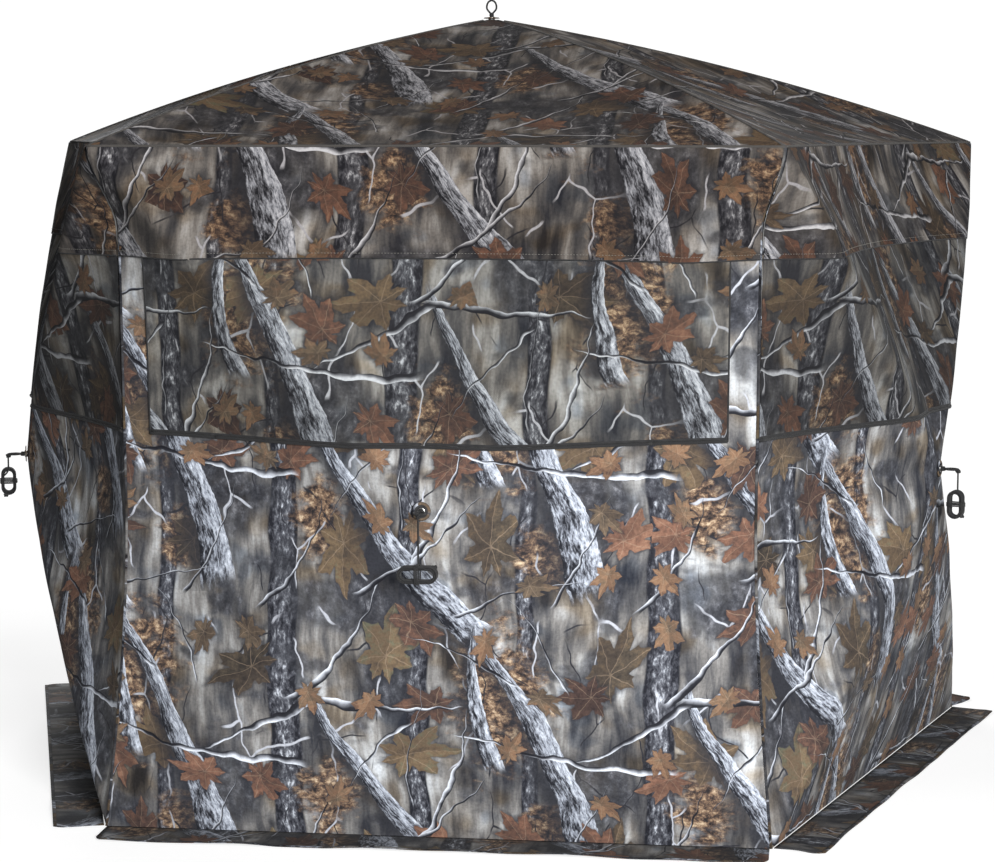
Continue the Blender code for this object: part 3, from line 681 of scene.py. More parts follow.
def add_object(name, points, faces, materials, uvs, normals=None, kinds=None, smooth=True):
    """A mesh object. uvs and normals are one to a point, kinds a material number to a face."""
    mesh = bpy.data.meshes.new(name)
    mesh.from_pydata([tuple(p) for p in points], [], faces)
    for key in materials:
        mesh.materials.append(MATERIALS[key])
    if kinds:
        mesh.polygons.foreach_set("material_index", kinds)
    mesh.polygons.foreach_set("use_smooth", [smooth] * len(faces))
    layer = mesh.uv_layers.new(name="cloth")
    for loop in mesh.loops:
        layer.data[loop.index].uv = uvs[loop.vertex_index]
    if normals:
        mesh.normals_split_custom_set_from_vertices([tuple(v) for v in normals])
    made = bpy.data.objects.new(name, mesh)
    bpy.context.scene.collection.objects.link(made)
    return made


def rim_edges(faces):
    """The open edges of a sheet, each in its face's own direction."""
    seen = set()
    for face in faces:
        for a, b in zip(face, face[1:] + face[:1]):
            seen.add((a, b))
    return [(a, b) for a, b in seen if (b, a) not in seen]


def thickened(points, faces, normals, lift, thickness):
    """Two layers and a rim, from a sheet: its points, faces, normals and face kinds."""
    count = len(points)
    outer = [p + v * lift for p, v in zip(points, normals)]
    inner = [p + v * (lift - thickness) for p, v in zip(points, normals)]
    made = [tuple(face) for face in faces]
    made += [tuple(a + count for a in reversed(face)) for face in faces]
    rims = sorted(rim_edges([tuple(face) for face in faces]))
    made += [(b, a, a + count, b + count) for a, b in rims]
    kinds = [0] * len(faces) + [1] * len(faces) + [0] * len(rims)
    return outer + inner, made, list(normals) + [-v for v in normals], kinds


def shifted_faces(faces, count):
    """The same faces, for points that follow count others."""
    return [tuple(c + count for c in face) for face in faces]


def grid_faces(rows, columns):
    """Quads over a grid of points, row by row."""
    faces = []
    for j in range(rows):
        for i in range(columns):
            low = j * (columns + 1) + i
            faces.append((low, low + columns + 1, low + columns + 2, low + 1))
    return faces


def sheet_area(points, faces):
    total = 0.0
    for face in faces:
        for i in range(1, len(face) - 1):
            a, b, c = points[face[0]], points[face[i]], points[face[i + 1]]
            total += (b - a).cross(c - a).length / 2
    return total


def cut_level(points, faces, keep_above):
    """The part of a sheet above or below z = 0, with doubled points merged."""
    work = bmesh.new()
    made = [work.verts.new(p) for p in points]
    for face in faces:
        work.faces.new([made[i] for i in face])
    bmesh.ops.remove_doubles(work, verts=work.verts, dist=1e-5)
    bmesh.ops.dissolve_degenerate(work, edges=work.edges, dist=1e-6)
    geometry = list(work.verts) + list(work.edges) + list(work.faces)
    side = {"clear_inner": keep_above, "clear_outer": not keep_above}
    bmesh.ops.bisect_plane(work, geom=geometry, dist=1e-6, plane_co=(0, 0, 0), plane_no=(0, 0, 1), **side)
    loose = [v for v in work.verts if not v.link_faces]
    bmesh.ops.delete(work, geom=loose, context="VERTS")
    work.verts.index_update()
    kept = [v.co.copy() for v in work.verts]
    made = [tuple(v.index for v in face.verts) for face in work.faces]
    work.free()
    return kept, made


def flatten_with(piece):
    """Gives a piece its own copy of its mesh."""
    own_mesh(piece)


def loft(sections, closed=False, caps=True):
    """Faces between rings of the same number of points."""
    count = len(sections[0])
    faces = []
    for i in range(len(sections) if closed else len(sections) - 1):
        low, high = i * count, (i + 1) % len(sections) * count
        for j in range(count):
            k = (j + 1) % count
            faces.append((low + j, low + k, high + k, high + j))
    if caps and not closed:
        last = (len(sections) - 1) * count
        faces.append(tuple(reversed(range(count))))
        faces.append(tuple(range(last, last + count)))
    return faces


def directions(path, closed=False):
    """The direction of travel at each point of a path."""
    made = []
    count = len(path)
    for i in range(count):
        before = path[i - 1] if closed or i else path[0]
        after = path[(i + 1) % count] if closed or i < count - 1 else path[-1]
        made.append((after - before).normalized())
    return made


def tube_sections(path, radii, sides, closed=False):
    """Rings round a path, turned as little as they can be from one to the next."""
    ahead = directions(path, closed)
    helper = Vector((0, 0, 1)) if abs(ahead[0].z) < 0.9 else Vector((1, 0, 0))
    first = ahead[0].cross(helper).normalized()
    sections, uvs, travelled = [], [], 0.0
    for i, (point, way) in enumerate(zip(path, ahead)):
        if i:
            travelled += (point - path[i - 1]).length
        first = (first - way * first.dot(way)).normalized()
        second = way.cross(first)
        radius = radii[i] if isinstance(radii, list) else radii
        ring = []
        for j in range(sides):
            turn = math.tau * j / sides
            ring.append(point + (first * math.cos(turn) + second * math.sin(turn)) * radius)
            uvs.append((travelled, j / sides))
        sections.append(ring)
    return sections, uvs


def add_tube(name, path, radii, sides, material, closed=False):
    sections, uvs = tube_sections(path, radii, sides, closed)
    points = [p for ring in sections for p in ring]
    return add_object(name, points, loft(sections, closed), [material], uvs)


def ribbon_sections(path, outs, half_width, thickness, fold):
    """A tape that follows a path, its face turned to outs and its sides folded back."""
    ahead = directions(path)
    profile = []
    for share in (-1.0, -0.5, 0.0, 0.5, 1.0):
        crown = thickness * (1 - 0.45 * share * share)
        profile.append((share, crown - fold * half_width * abs(share)))
    for share in (1.0, 0.0, -1.0):
        profile.append((share, -fold * half_width * abs(share)))
    sections, uvs, travelled = [], [], 0.0
    for i, (point, way, out) in enumerate(zip(path, ahead, outs)):
        if i:
            travelled += (point - path[i - 1]).length
        side = way.cross(out).normalized()
        face = side.cross(way).normalized()
        sections.append([point + side * s * half_width + face * h for s, h in profile])
        uvs += [(travelled, s * half_width) for s, _ in profile]
    return sections, uvs


def add_ribbon(name, path, outs, half_width, thickness, material="binding", fold=0.0):
    sections, uvs = ribbon_sections(path, outs, half_width, thickness, fold)
    points = [p for ring in sections for p in ring]
    return add_object(name, points, loft(sections), [material], uvs)


def finish_piece(made, body):
    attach(made, body)
    return made


# Walls ---------------------------------------------------------------------------------


def grid_levels():
    """Levels each way from the hub, in even steps, with every hem and the doorway exact."""
    exact = [HOLE_LEVEL, WINDOW_LOW_LEVEL, WINDOW_HIGH_LEVEL, FRONT_WINDOW_SPAN, 1.0]
    even = [(i + 1) / GRID for i in range(GRID)]
    kept = [v for v in even if all(abs(v - e) > 0.4 / GRID for e in exact)]
    half = sorted(kept + exact)
    return [-v for v in reversed(half)] + half


LEVELS = grid_levels()


def panel_sheet(columns, rows, skip=None, inset=None):
    """A sheet over a grid of levels, in the wall's own frame."""
    points = []
    for y in rows:
        for x in columns:
            across, up = level_point(*(inset(x, y) if inset else (x, y)))
            points.append(Vector((across, up, cloth_depth(across, up))))
    width = len(columns)
    faces = []
    for j in range(len(rows) - 1):
        for i in range(width - 1):
            low = j * width + i
            high = low + width
            if (columns[i] + columns[i + 1]) * (rows[j] + rows[j + 1]) > 0:
                cells = [(low, low + 1, high + 1), (low, high + 1, high)]
            else:
                cells = [(low, low + 1, high), (low + 1, high + 1, high)]
            for cell in cells:
                x = sum(columns[c % width] for c in cell) / 3
                y = sum(rows[c // width] for c in cell) / 3
                if skip is None or not skip(x, y):
                    faces.append(cell)
    return points, faces


def cloth_uvs(points, shift, shear=0.0):
    return [(p.x + shift[0] + shear * p.y, p.y + shift[1]) for p in points]


def add_wall_sheet(name, index, sheet, lift, shift, body="shell", shear=0.0,
                   layers=("panel", "lining"), nodes=()):
    """Adds a panel of cloth as the part in front of the panel's plane and the strip behind it."""
    place = wall_frame(index)
    made = []
    for ending, above in (("", True), ("_edge", False)):
        points, faces = cut_level(*sheet, above)
        area = sheet_area(points, faces)
        if area < 1e-4:
            continue
        normals = [cloth_normal(p.x, p.y) for p in points]
        outer, shell_faces, both, kinds = thickened(points, faces, normals, lift, CLOTH)
        uvs = cloth_uvs(points, shift, shear) * 2
        world = [place @ p for p in outer]
        turned = [place.to_3x3() @ v for v in both]
        piece = add_object(name + ending, world, shell_faces, layers, uvs, turned, kinds)
        finish_piece(piece, body)
        if above:
            flatten_with(piece)
            if nodes:
                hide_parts(*nodes)
        made.append(piece)
    return made


def in_hub_hole(x, y):
    return abs(x) < HOLE_LEVEL and abs(y) < HOLE_LEVEL


def in_doorway(x, y):
    low, high = WINDOW_LOW_LEVEL, FRONT_WINDOW_SPAN
    return low < x < high and abs(y) < x


def door_inset(x, y):
    gap = DOOR_GAP / flat_half(HUB_LENGTH)
    low, high = WINDOW_LOW_LEVEL, FRONT_WINDOW_SPAN
    x = min(max(x, low + gap), high - gap)
    reach = max(0.0, x - 2 * gap)
    return x, min(max(y, -reach), reach)


def band_limits(levels, low, high):
    return [v for v in levels if low - 1e-9 <= v <= high + 1e-9]


def wall_print_shift(index):
    """Where the print starts on a wall, which its door shares."""
    return 0.37 + index * 0.53, 0.11 + index * 0.29


def add_wall(index):
    name = WALL_NAMES[index]
    has_door = index == DOOR_WALL
    skip = (lambda x, y: in_hub_hole(x, y) or in_doorway(x, y)) if has_door else in_hub_hole
    sheet = panel_sheet(LEVELS, LEVELS, skip)
    add_wall_sheet("wall_skin_" + name, index, sheet, 0.0, wall_print_shift(index),
                   nodes=["wall_" + name])


def add_window(index):
    name = WALL_NAMES[index]
    span = FRONT_WINDOW_SPAN if name == "front" else 1.0
    columns = band_limits(LEVELS, -span, span)
    rows = band_limits(LEVELS, WINDOW_LOW_LEVEL, WINDOW_HIGH_LEVEL)
    shift = (0.11 + index * 0.47, 0.52)
    # Side windows take the mesh's darker copy: painted shade
    fabric = "mesh" if name == "front" else "side_mesh_shaded"
    sheet = panel_sheet(columns, rows)
    add_wall_sheet("window_" + name, index, sheet, MESH_LIFT, shift,
                   layers=(fabric, fabric), nodes=["window_mesh_" + name])


def add_band(index):
    """The printed band above the windows, sewn over the mesh's top edge."""
    name = WALL_NAMES[index]
    low = WINDOW_HIGH_LEVEL
    rows = band_limits(LEVELS, low, 1.0)
    shear = 0.40 if name == "right" else 0.0
    shift = (0.23 + index * 0.61, 0.05 + index * 0.17)
    sheet = panel_sheet(LEVELS, rows)
    add_wall_sheet("upper_band_" + name, index, sheet, FLAP_LIFT, shift, shear=shear,
                   layers=("band", "lining"))


def along_wall(index, places, lift):
    """World points and outward directions over places given as across and up."""
    place = wall_frame(index)
    turn = place.to_3x3()
    path, outs = [], []
    for across, up in places:
        normal = cloth_normal(across, up)
        path.append(place @ (Vector((across, up, cloth_depth(across, up))) + normal * lift))
        outs.append(turn @ normal)
    return path, outs


def split_places(places):
    """Runs of places that lie in front of the panel's plane, and behind it, end to end."""
    runs = []
    for i, (across, up) in enumerate(places):
        above = cloth_depth(across, up) > 0
        if not runs or runs[-1][0] != above:
            if runs:
                crossing = crossing_place(places[i - 1], places[i])
                runs[-1][1].append(crossing)
                runs.append((above, [crossing]))
            else:
                runs.append((above, []))
        runs[-1][1].append((across, up))
    return runs


def crossing_place(first, second):
    """Where the cloth passes through the panel's plane between two places."""
    low, high = 0.0, 1.0
    sign = cloth_depth(*first) > 0
    for _ in range(24):
        middle = (low + high) / 2
        place = [a + (b - a) * middle for a, b in zip(first, second)]
        if (cloth_depth(*place) > 0) == sign:
            low = middle
        else:
            high = middle
    return tuple(a + (b - a) * low for a, b in zip(first, second))


def add_wall_trim(name, index, places, lift, build, body="shell"):
    """A trim over places on a wall, cut where the cloth passes through the panel's plane."""
    for number, (above, run) in enumerate(split_places(places)):
        if len(run) < 2 or trim_length(run) < 0.002:
            continue
        path, outs = along_wall(index, run, lift)
        piece = build(f"{name}_{number + 1}", path, outs)
        finish_piece(piece, body)
        if above:
            flatten_with(piece)


def trim_length(run):
    return sum(math.hypot(b[0] - a[0], b[1] - a[1]) for a, b in zip(run, run[1:]))


def level_line(level, span, inset=0.0, steps=96):
    """Places along a wall at one level, between the same share of each half width."""
    up = HUB_LENGTH + level * UPPER
    limit = min(span * flat_half(up), seam_half(up) - EDGE_GAP) - inset
    return [(-limit + 2 * limit * i / steps, up) for i in range(steps + 1)]


def raised(places, rise):
    return [(across, up + rise) for across, up in places]


def stitch_builder(length=0.0042, gap=0.0026, radius=0.00045, material="thread"):
    """Builds a row of short stitches, or the turns of a coil zip."""

    def build(name, path, outs):
        points, faces, uvs = [], [], []
        travelled = 0.0
        for i in range(1, len(path)):
            step = (path[i] - path[i - 1]).length
            way = (path[i] - path[i - 1]).normalized()
            while travelled < step:
                start = path[i - 1] + way * travelled
                middle = outs[i] * radius * 1.2
                line = [start, start + way * length * 0.5 + middle, start + way * length]
                sections, ring_uvs = tube_sections(line, [radius * 0.6, radius, radius * 0.6], 5)
                faces += shifted_faces(loft(sections), len(points))
                points += [p for ring in sections for p in ring]
                uvs += ring_uvs
                travelled += length + gap
            travelled -= step
        return add_object(name, points, faces, [material], uvs)

    return build


def cord_builder(radius, sides=10):
    return lambda name, path, outs: add_tube(name, path, radius, sides, "binding")


def tape_builder(half_width, thickness, material="binding"):
    return lambda name, path, outs: add_ribbon(name, path, outs, half_width, thickness, material)


def add_wall_trims(index):
    name = WALL_NAMES[index]
    if index in WINDOW_WALLS:
        span = FRONT_WINDOW_SPAN if name == "front" else 1.0
        low = level_line(WINDOW_LOW_LEVEL, span)
        add_wall_trim("window_cord_" + name, index, low, MESH_LIFT + 0.0006, cord_builder(0.0030))
        add_wall_trim("window_hem_" + name, index, raised(low, 0.006), MESH_LIFT,
                      tape_builder(0.0030, 0.0010))
    hem = level_line(WINDOW_HIGH_LEVEL, 1.0)
    add_wall_trim("band_hem_" + name, index, raised(hem, 0.0012), FLAP_LIFT - 0.0006,
                  tape_builder(0.0014, 0.0016))
    add_wall_trim("band_stitch_" + name, index, raised(hem, 0.012), FLAP_LIFT + 0.0002, stitch_builder())
    if name == "front":
        for side, word in ((-1, "left"), (1, "right")):
            places = window_side(side)
            add_wall_trim("window_side_" + word, index, places, MESH_LIFT, tape_builder(0.0020, 0.0012))


def window_side(side):
    """Places up one side of the front window."""
    low = HUB_LENGTH + WINDOW_LOW_LEVEL * UPPER
    high = HUB_LENGTH + WINDOW_HIGH_LEVEL * UPPER
    made = []
    for i in range(33):
        up = low + (high - low) * i / 32
        made.append((side * FRONT_WINDOW_SPAN * flat_half(up), up))
    return made


def add_seams():
    """The bound corner seams and the piped eave, which stay on the shell."""
    for index, name in enumerate(WALL_NAMES):
        place = wall_frame(index)
        out, along = wall_axes(index)
        corner = (out * math.cos(HALF_TURN) + along * math.sin(HALF_TURN)).normalized()
        seam = []
        for i in range(61):
            up = WALL_LENGTH * i / 60
            seam.append(place @ Vector((seam_half(up), up, seam_depth(up))) + corner * 0.0006)
        piece = add_ribbon("corner_binding_" + name, seam, [corner] * 61, *BINDING, "skirt", fold=0.66)
        finish_piece(piece, "shell")
        eave = []
        for i in range(65):
            across = EAVE_SIDE / 2 * (2 * i / 64 - 1)
            eave.append(place @ Vector((across, WALL_LENGTH - 0.001, -eave_bow(across))))
        piece = add_tube("eave_piping_" + name, eave, PIPING_RADIUS, 10, "piping")
        finish_piece(piece, "shell")


# Roof ----------------------------------------------------------------------------------


def roof_normal(index, reach, side):
    step = 0.01
    further, nearer = min(1.0, reach + step), max(0.01, reach - step)
    right, left = min(1.0, side + step), max(-1.0, side - step)
    outwards = roof_point(index, further, side) - roof_point(index, nearer, side)
    sideways = roof_point(index, reach, right) - roof_point(index, reach, left)
    return outwards.cross(sideways).normalized()


def roof_cloth(index, reach, side):
    point = roof_point(index, reach, side)
    share = math.sin(math.pi * reach) * (1 - side**4)
    uneven = noise.noise(Vector((point.x * 4, point.y * 4, 1.7)))
    return point + Vector((0, 0, 0.004 * uneven * share))


def roof_flatten(piece):
    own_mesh(piece)


def add_roof():
    """Five sewn facets, from the hub's hole to the eave."""
    rings, steps = 30, 30
    first = ROOF_HOLE / EAVE_APOTHEM
    last = 1 - EDGE_GAP / EAVE_APOTHEM
    all_points, all_faces, all_uvs, all_normals, all_kinds = [], [], [], [], []
    for index in range(SIDES):
        points, normals, uvs = [], [], []
        for i in range(rings + 1):
            reach = first + (last - first) * i / rings
            for j in range(steps + 1):
                side = 2 * j / steps - 1
                points.append(roof_cloth(index, reach, side))
                normals.append(roof_normal(index, reach, side))
                uvs.append((side * reach * EAVE_SIDE / 2 + index * 0.41, 2.0 - reach * 1.05 + index * 0.23))
        faces = grid_faces(rings, steps)
        outer, shell_faces, both, kinds = thickened(points, faces, normals, 0.0, CLOTH)
        all_faces += shifted_faces(shell_faces, len(all_points))
        all_points += outer
        all_uvs += uvs * 2
        all_normals += both
        all_kinds += kinds
    layers = ["roof", "lining"]
    piece = add_object("roof_skin", all_points, all_faces, layers, all_uvs, all_normals, all_kinds)
    finish_piece(piece, "shell")
    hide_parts("roof_canopy")
    roof_flatten(piece)
    for index in range(SIDES):
        ridge, outs = [], []
        for i in range(49):
            reach = 0.025 + (0.997 - 0.025) * i / 48
            ridge.append(roof_point(index, reach, 1.0) + UP * 0.0006)
            beside = roof_normal((index + 1) % SIDES, reach, -0.98)
            outs.append((roof_normal(index, reach, 0.98) + beside).normalized())
        piece = add_ribbon(f"ridge_binding_{index + 1}", ridge, outs, *BINDING, "piping", fold=0.25)
        finish_piece(piece, "shell")
        roof_flatten(piece)


# Door ----------------------------------------------------------------------------------


def door_edge(sign, outset, steps=40):
    """Places along the doorway's upper or lower sloping edge."""
    low, high = WINDOW_LOW_LEVEL, FRONT_WINDOW_SPAN
    made = []
    for i in range(steps + 1):
        level = low + (high - low) * i / steps
        across, up = level_point(level, sign * level)
        made.append((across, up + sign * outset))
    return made


def door_side(inset, level=FRONT_WINDOW_SPAN, steps=24):
    """Places up the doorway's side next to the corner, or up its short side next to the hub."""
    made = []
    for i in range(steps + 1):
        across, up = level_point(level, level * (2 * i / steps - 1))
        made.append((across + inset, up))
    return made


def add_door():
    levels = band_limits(LEVELS, WINDOW_LOW_LEVEL, FRONT_WINDOW_SPAN)
    rows = [-v for v in reversed(levels)] + levels
    sheet = panel_sheet(levels, rows, lambda x, y: abs(y) > x, door_inset)
    shift = wall_print_shift(DOOR_WALL)
    add_wall_sheet("door_skin", DOOR_WALL, sheet, 0.0, shift, body="door", nodes=["door_flap"])
    for word, sign in (("upper", 1), ("lower", -1)):
        add_wall_trim(f"door_tape_{word}", DOOR_WALL, door_edge(sign, 0.012), 0.0004,
                      tape_builder(0.009, DOOR_TAPE))
    add_wall_trim("door_tape_side", DOOR_WALL, door_side(0.011), 0.0004, tape_builder(0.008, DOOR_TAPE))
    # Facings inside the wall, behind the gap round the flap
    half_gap = DOOR_GAP / 2
    facings = {
        "upper": door_edge(1, -half_gap),
        "lower": door_edge(-1, -half_gap),
        "side": door_side(-half_gap),
        "inner": door_side(half_gap, WINDOW_LOW_LEVEL),
    }
    for word, places in facings.items():
        proud = [place for place in places if cloth_depth(*place) > PROUD_DEPTH]
        add_wall_trim("door_facing_" + word, DOOR_WALL, proud, FACING_LIFT,
                      tape_builder(*FACING_TAPE, "lining"))
    add_wall_trim("door_zip", DOOR_WALL, door_edge(1, 0.0035), 0.0016, tape_builder(0.0030, 0.0008))
    add_wall_trim("door_coil", DOOR_WALL, door_edge(1, 0.0035), 0.0026,
                  stitch_builder(0.0019, 0.0009, 0.0013, "zip"))


# Skirts --------------------------------------------------------------------------------


def add_skirt(index):
    """A flap that lies on the ground with a slight ripple, its free corners clipped."""
    name = WALL_NAMES[index]
    out, along = wall_axes(index)
    foot = Vector((0, CENTRE_Y, 0)) + out * BASE_APOTHEM
    columns, rows = 96, 10
    half = BASE_SIDE / 2 - EDGE_GAP
    points, uvs = [], []
    for j in range(rows + 1):
        share = j / rows
        depth = EDGE_GAP + SKIRT_DEPTH * share
        clip = 0.012 * max(0.0, (share - 0.85) / 0.15)
        for i in range(columns + 1):
            across = (half - clip) * (2 * i / columns - 1)
            ripple = noise.noise(Vector((across * 7 + index * 3, depth * 9, 0.4))) + 0.35
            height = 0.0014 + 0.0050 * max(0.0, ripple) * smoothstep(share * 1.6)
            points.append(foot + along * across + out * depth + UP * height)
            uvs.append((across + index * 0.7, 0.2 - depth))
    faces = grid_faces(rows, columns)
    normals = [Vector((0, 0, 1))] * len(points)
    outer, shell_faces, _, kinds = thickened(points, faces, normals, 0.0, CLOTH)
    piece = add_object("skirt_skin_" + name, outer, shell_faces, ["skirt", "lining"], uvs * 2, None, kinds)
    finish_piece(piece, name + "_skirt")
    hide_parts("skirt_" + name)
    path = [points[rows * (columns + 1) + i] + UP * 0.0003 - out * 0.004 for i in range(columns + 1)]
    hem = add_ribbon("skirt_hem_" + name, path, [UP] * len(path), 0.0040, 0.0012, "skirt")
    finish_piece(hem, name + "_skirt")


# Poles ---------------------------------------------------------------------------------


def wall_pole_ends(index, side, up):
    along = WALL_LENGTH - WALL_TIP_INSET if up > 0 else WALL_TIP_INSET
    tip = Vector((side * (flat_half(along) - WALL_TIP_INSET), along, WALL_TIP_DEPTH))
    angle = math.atan2(tip.y - HUB_LENGTH, tip.x)
    reach = Vector((math.cos(angle), math.sin(angle), 0)) * HUB_PIVOT_RADIUS
    pivot = wall_hub_frame(index) @ (reach + Vector((0, 0, HUB_PIVOT_DEPTH)))
    return pivot, wall_frame(index) @ tip


def roof_pole_ends(index):
    angle = -math.pi / 2 + TURN * (index + 0.5)
    out = Vector((math.cos(angle), math.sin(angle), 0))
    pivot = APEX + out * HUB_PIVOT_RADIUS + UP * HUB_PIVOT_DEPTH
    tip = Vector((0, CENTRE_Y, EAVE_HEIGHT - ROOF_TIP_DROP)) + out * (EAVE_RADIUS - ROOF_TIP_INSET)
    return pivot, tip


def add_pole(name, node, body, pivot, tip, outward, bow):
    """A rod from its flat eye in the hub, through a metal ferrule, to its moulded tip."""
    length = (tip - pivot).length
    along = (tip - pivot).normalized()
    hinge = outward.cross(along).normalized()
    place = frame_matrix(along, hinge, along.cross(hinge), pivot)
    parts = (
        ("steel", ((-0.0055, 0.0030), (-0.004, 0.0044), (0.012, 0.0046), (0.016, 0.0057), (0.078, 0.0058),
                   (0.080, 0.0048))),
        ("rod", tuple((0.079 + (length - 0.112) * i / 20, 0.0045) for i in range(21))),
        ("plastic", ((length - 0.034, 0.0047), (length - 0.032, 0.0058), (length - 0.006, 0.0056),
                     (length - 0.002, 0.0044), (length, 0.0026))),
    )
    points, faces, uvs, kinds = [], [], [], []
    for kind, (_, stations) in enumerate(parts):
        path = []
        for x, _ in stations:
            share = min(1.0, max(0.0, x / length))
            path.append(Vector((x, 0, bow * 4 * share * (1 - share))))
        sections, ring_uvs = tube_sections(path, [r for _, r in stations], 12)
        made = shifted_faces(loft(sections), len(points))
        points += [place @ p for ring in sections for p in ring]
        uvs += ring_uvs
        faces += made
        kinds += [kind] * len(made)
    piece = add_object(name, points, faces, [key for key, _ in parts], uvs, None, kinds)
    finish_piece(piece, body)
    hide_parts(node)


def add_poles():
    for index, wall in enumerate(WALL_NAMES):
        outward = wall_frame(index).to_3x3() @ OUT
        for corner, side, up in CORNERS:
            pivot, tip = wall_pole_ends(index, side, up)
            words = f"{wall}_{corner}"
            add_pole("rod_" + words, "pole_" + words, words + "_pole", pivot, tip, outward, WALL_POLE_BOW)
    for index in range(SIDES):
        pivot, tip = roof_pole_ends(index)
        number = str(index + 1)
        add_pole("rod_roof_" + number, "pole_roof_" + number, "roof_pole_" + number, pivot, tip, UP,
                 ROOF_ARCH)


# Hubs, pull loops and cords ------------------------------------------------------------


def lathe(profile, segments):
    """Rings of a profile of (radius, height) points about z."""
    sections, uvs = [], []
    for radius, height in profile:
        ring = []
        for j in range(segments):
            turn = math.tau * j / segments
            ring.append(Vector((radius * math.cos(turn), radius * math.sin(turn), height)))
            uvs.append((turn * 0.01, height))
        sections.append(ring)
    return sections, uvs


def add_turned(name, place, profile, material, segments=40):
    sections, uvs = lathe(profile, segments)
    points = [place @ p for ring in sections for p in ring]
    return add_object(name, points, loft(sections, closed=True), [material], uvs)


GROMMET = ((0.0052, 0.0030), (0.0054, 0.0046), (0.0066, 0.0056), (0.0082, 0.0050), (0.0088, 0.0036),
           (0.0080, 0.0034), (0.0060, 0.0034))
WASHER = ((0.0120, 0.0012), (0.0125, 0.0030), (0.0148, 0.0038), (0.0182, 0.0034), (0.0200, 0.0014),
          (0.0160, 0.0010))


def knot_path(size):
    """A trefoil, as an overhand knot pulled tight."""
    made = []
    for i in range(48):
        t = math.tau * i / 48
        x = math.sin(t) + 2 * math.sin(2 * t)
        y = math.cos(t) - 2 * math.cos(2 * t)
        made.append(Vector((x, y, -1.6 * math.sin(3 * t))) * size)
    return made


def add_knot(name, place, size, radius, body):
    path = [place @ p for p in knot_path(size)]
    return finish_piece(add_tube(name, path, radius, 8, "cord", closed=True), body)


def add_pull(name, node, body, place):
    """The pull loop's cord ring, whipped where its two ends go down into the hub."""
    half_x, half_z = LOOP_HALF
    ring = []
    for i in range(56):
        turn = math.tau * i / 56
        pinch = 1 - 0.35 * smoothstep((-math.cos(turn) - 0.2) / 0.8)
        height = LOOP_CENTRE + half_z * math.cos(turn)
        ring.append(place @ Vector((half_x * math.sin(turn) * pinch, 0, height)))
    piece = add_tube(name, ring, LOOP_CORD, 12, "cord", closed=True)
    finish_piece(piece, body)
    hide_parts(node)
    spiral = []
    for i in range(97):
        turn = math.tau * 6 * i / 96
        radius = 0.0040 + 0.0008 * math.sin(math.pi * i / 96)
        height = 0.0035 + 0.011 * i / 96
        spiral.append(place @ Vector((radius * math.cos(turn), radius * math.sin(turn), height)))
    finish_piece(add_tube(name + "_whipping", spiral, 0.0011, 8, "cord"), body)


def add_hub_details(name, body, place, node):
    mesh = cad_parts[node].data
    mesh.materials.clear()
    mesh.materials.append(MATERIALS["plastic"])
    finish_piece(add_turned("washer_" + name, place, WASHER, "panel"), body)
    finish_piece(add_turned("grommet_" + name, place, GROMMET, "nickel"), body)


HANK_RADII = (0.016, 0.012)
HANK_PITCH = 0.0041
# Wall number, hanging length, length between the hank's two turns, turns outside and inside, lying level
CORDS = (
    (0, 0.100, 0.048, 6, 5, True),
    (1, 0.042, 0.030, 7, 6, False),
    (4, 0.030, 0.030, 7, 6, False),
)


def stadium_point(distance, straight, radius):
    """A point of the hank's outline, from the middle of its first run, going along +x."""
    arc = math.pi * radius
    total = 2 * straight + 2 * arc
    d = distance % total
    half = straight / 2
    if d < half:
        return d, radius
    d -= half
    if d < arc:
        turn = d / radius
        return half + radius * math.sin(turn), radius * math.cos(turn)
    d -= arc
    if d < straight:
        return half - d, -radius
    d -= straight
    if d < arc:
        turn = d / radius
        return -half - radius * math.sin(turn), -radius * math.cos(turn)
    d -= arc
    return -half + d, radius


def stadium_total(straight, radius):
    return 2 * straight + math.tau * radius


def wound_points(straight, radius, turns, start, step, first=0.0):
    """Points of a layer: first is how far along its first turn it starts."""
    total = stadium_total(straight, radius)
    count = round(turns * 40)
    made = []
    for i in range(count + 1):
        share = i / count
        x, y = stadium_point(first + share * turns * total, straight, radius)
        made.append(Vector((x, y, start + step * share * turns)))
    return made


def hank_frame(index, middle, lying):
    """x along the hank and z through it: level along the wall, or hanging straight down."""
    out, along = wall_axes(index)
    if lying:
        return frame_matrix(along, UP, along.cross(UP), middle)
    return frame_matrix(-UP, out, UP.cross(-out), middle)


def rounded_corner(start, start_way, end, end_way, steps=10):
    """A smooth bend between two places and directions."""
    reach = (end - start).length * 0.55
    a, b = start + start_way * reach, end - end_way * reach
    made = []
    for i in range(1, steps):
        t = i / steps
        s = 1 - t
        made.append(start * s**3 + a * 3 * s * s * t + b * 3 * s * t * t + end * t**3)
    return made


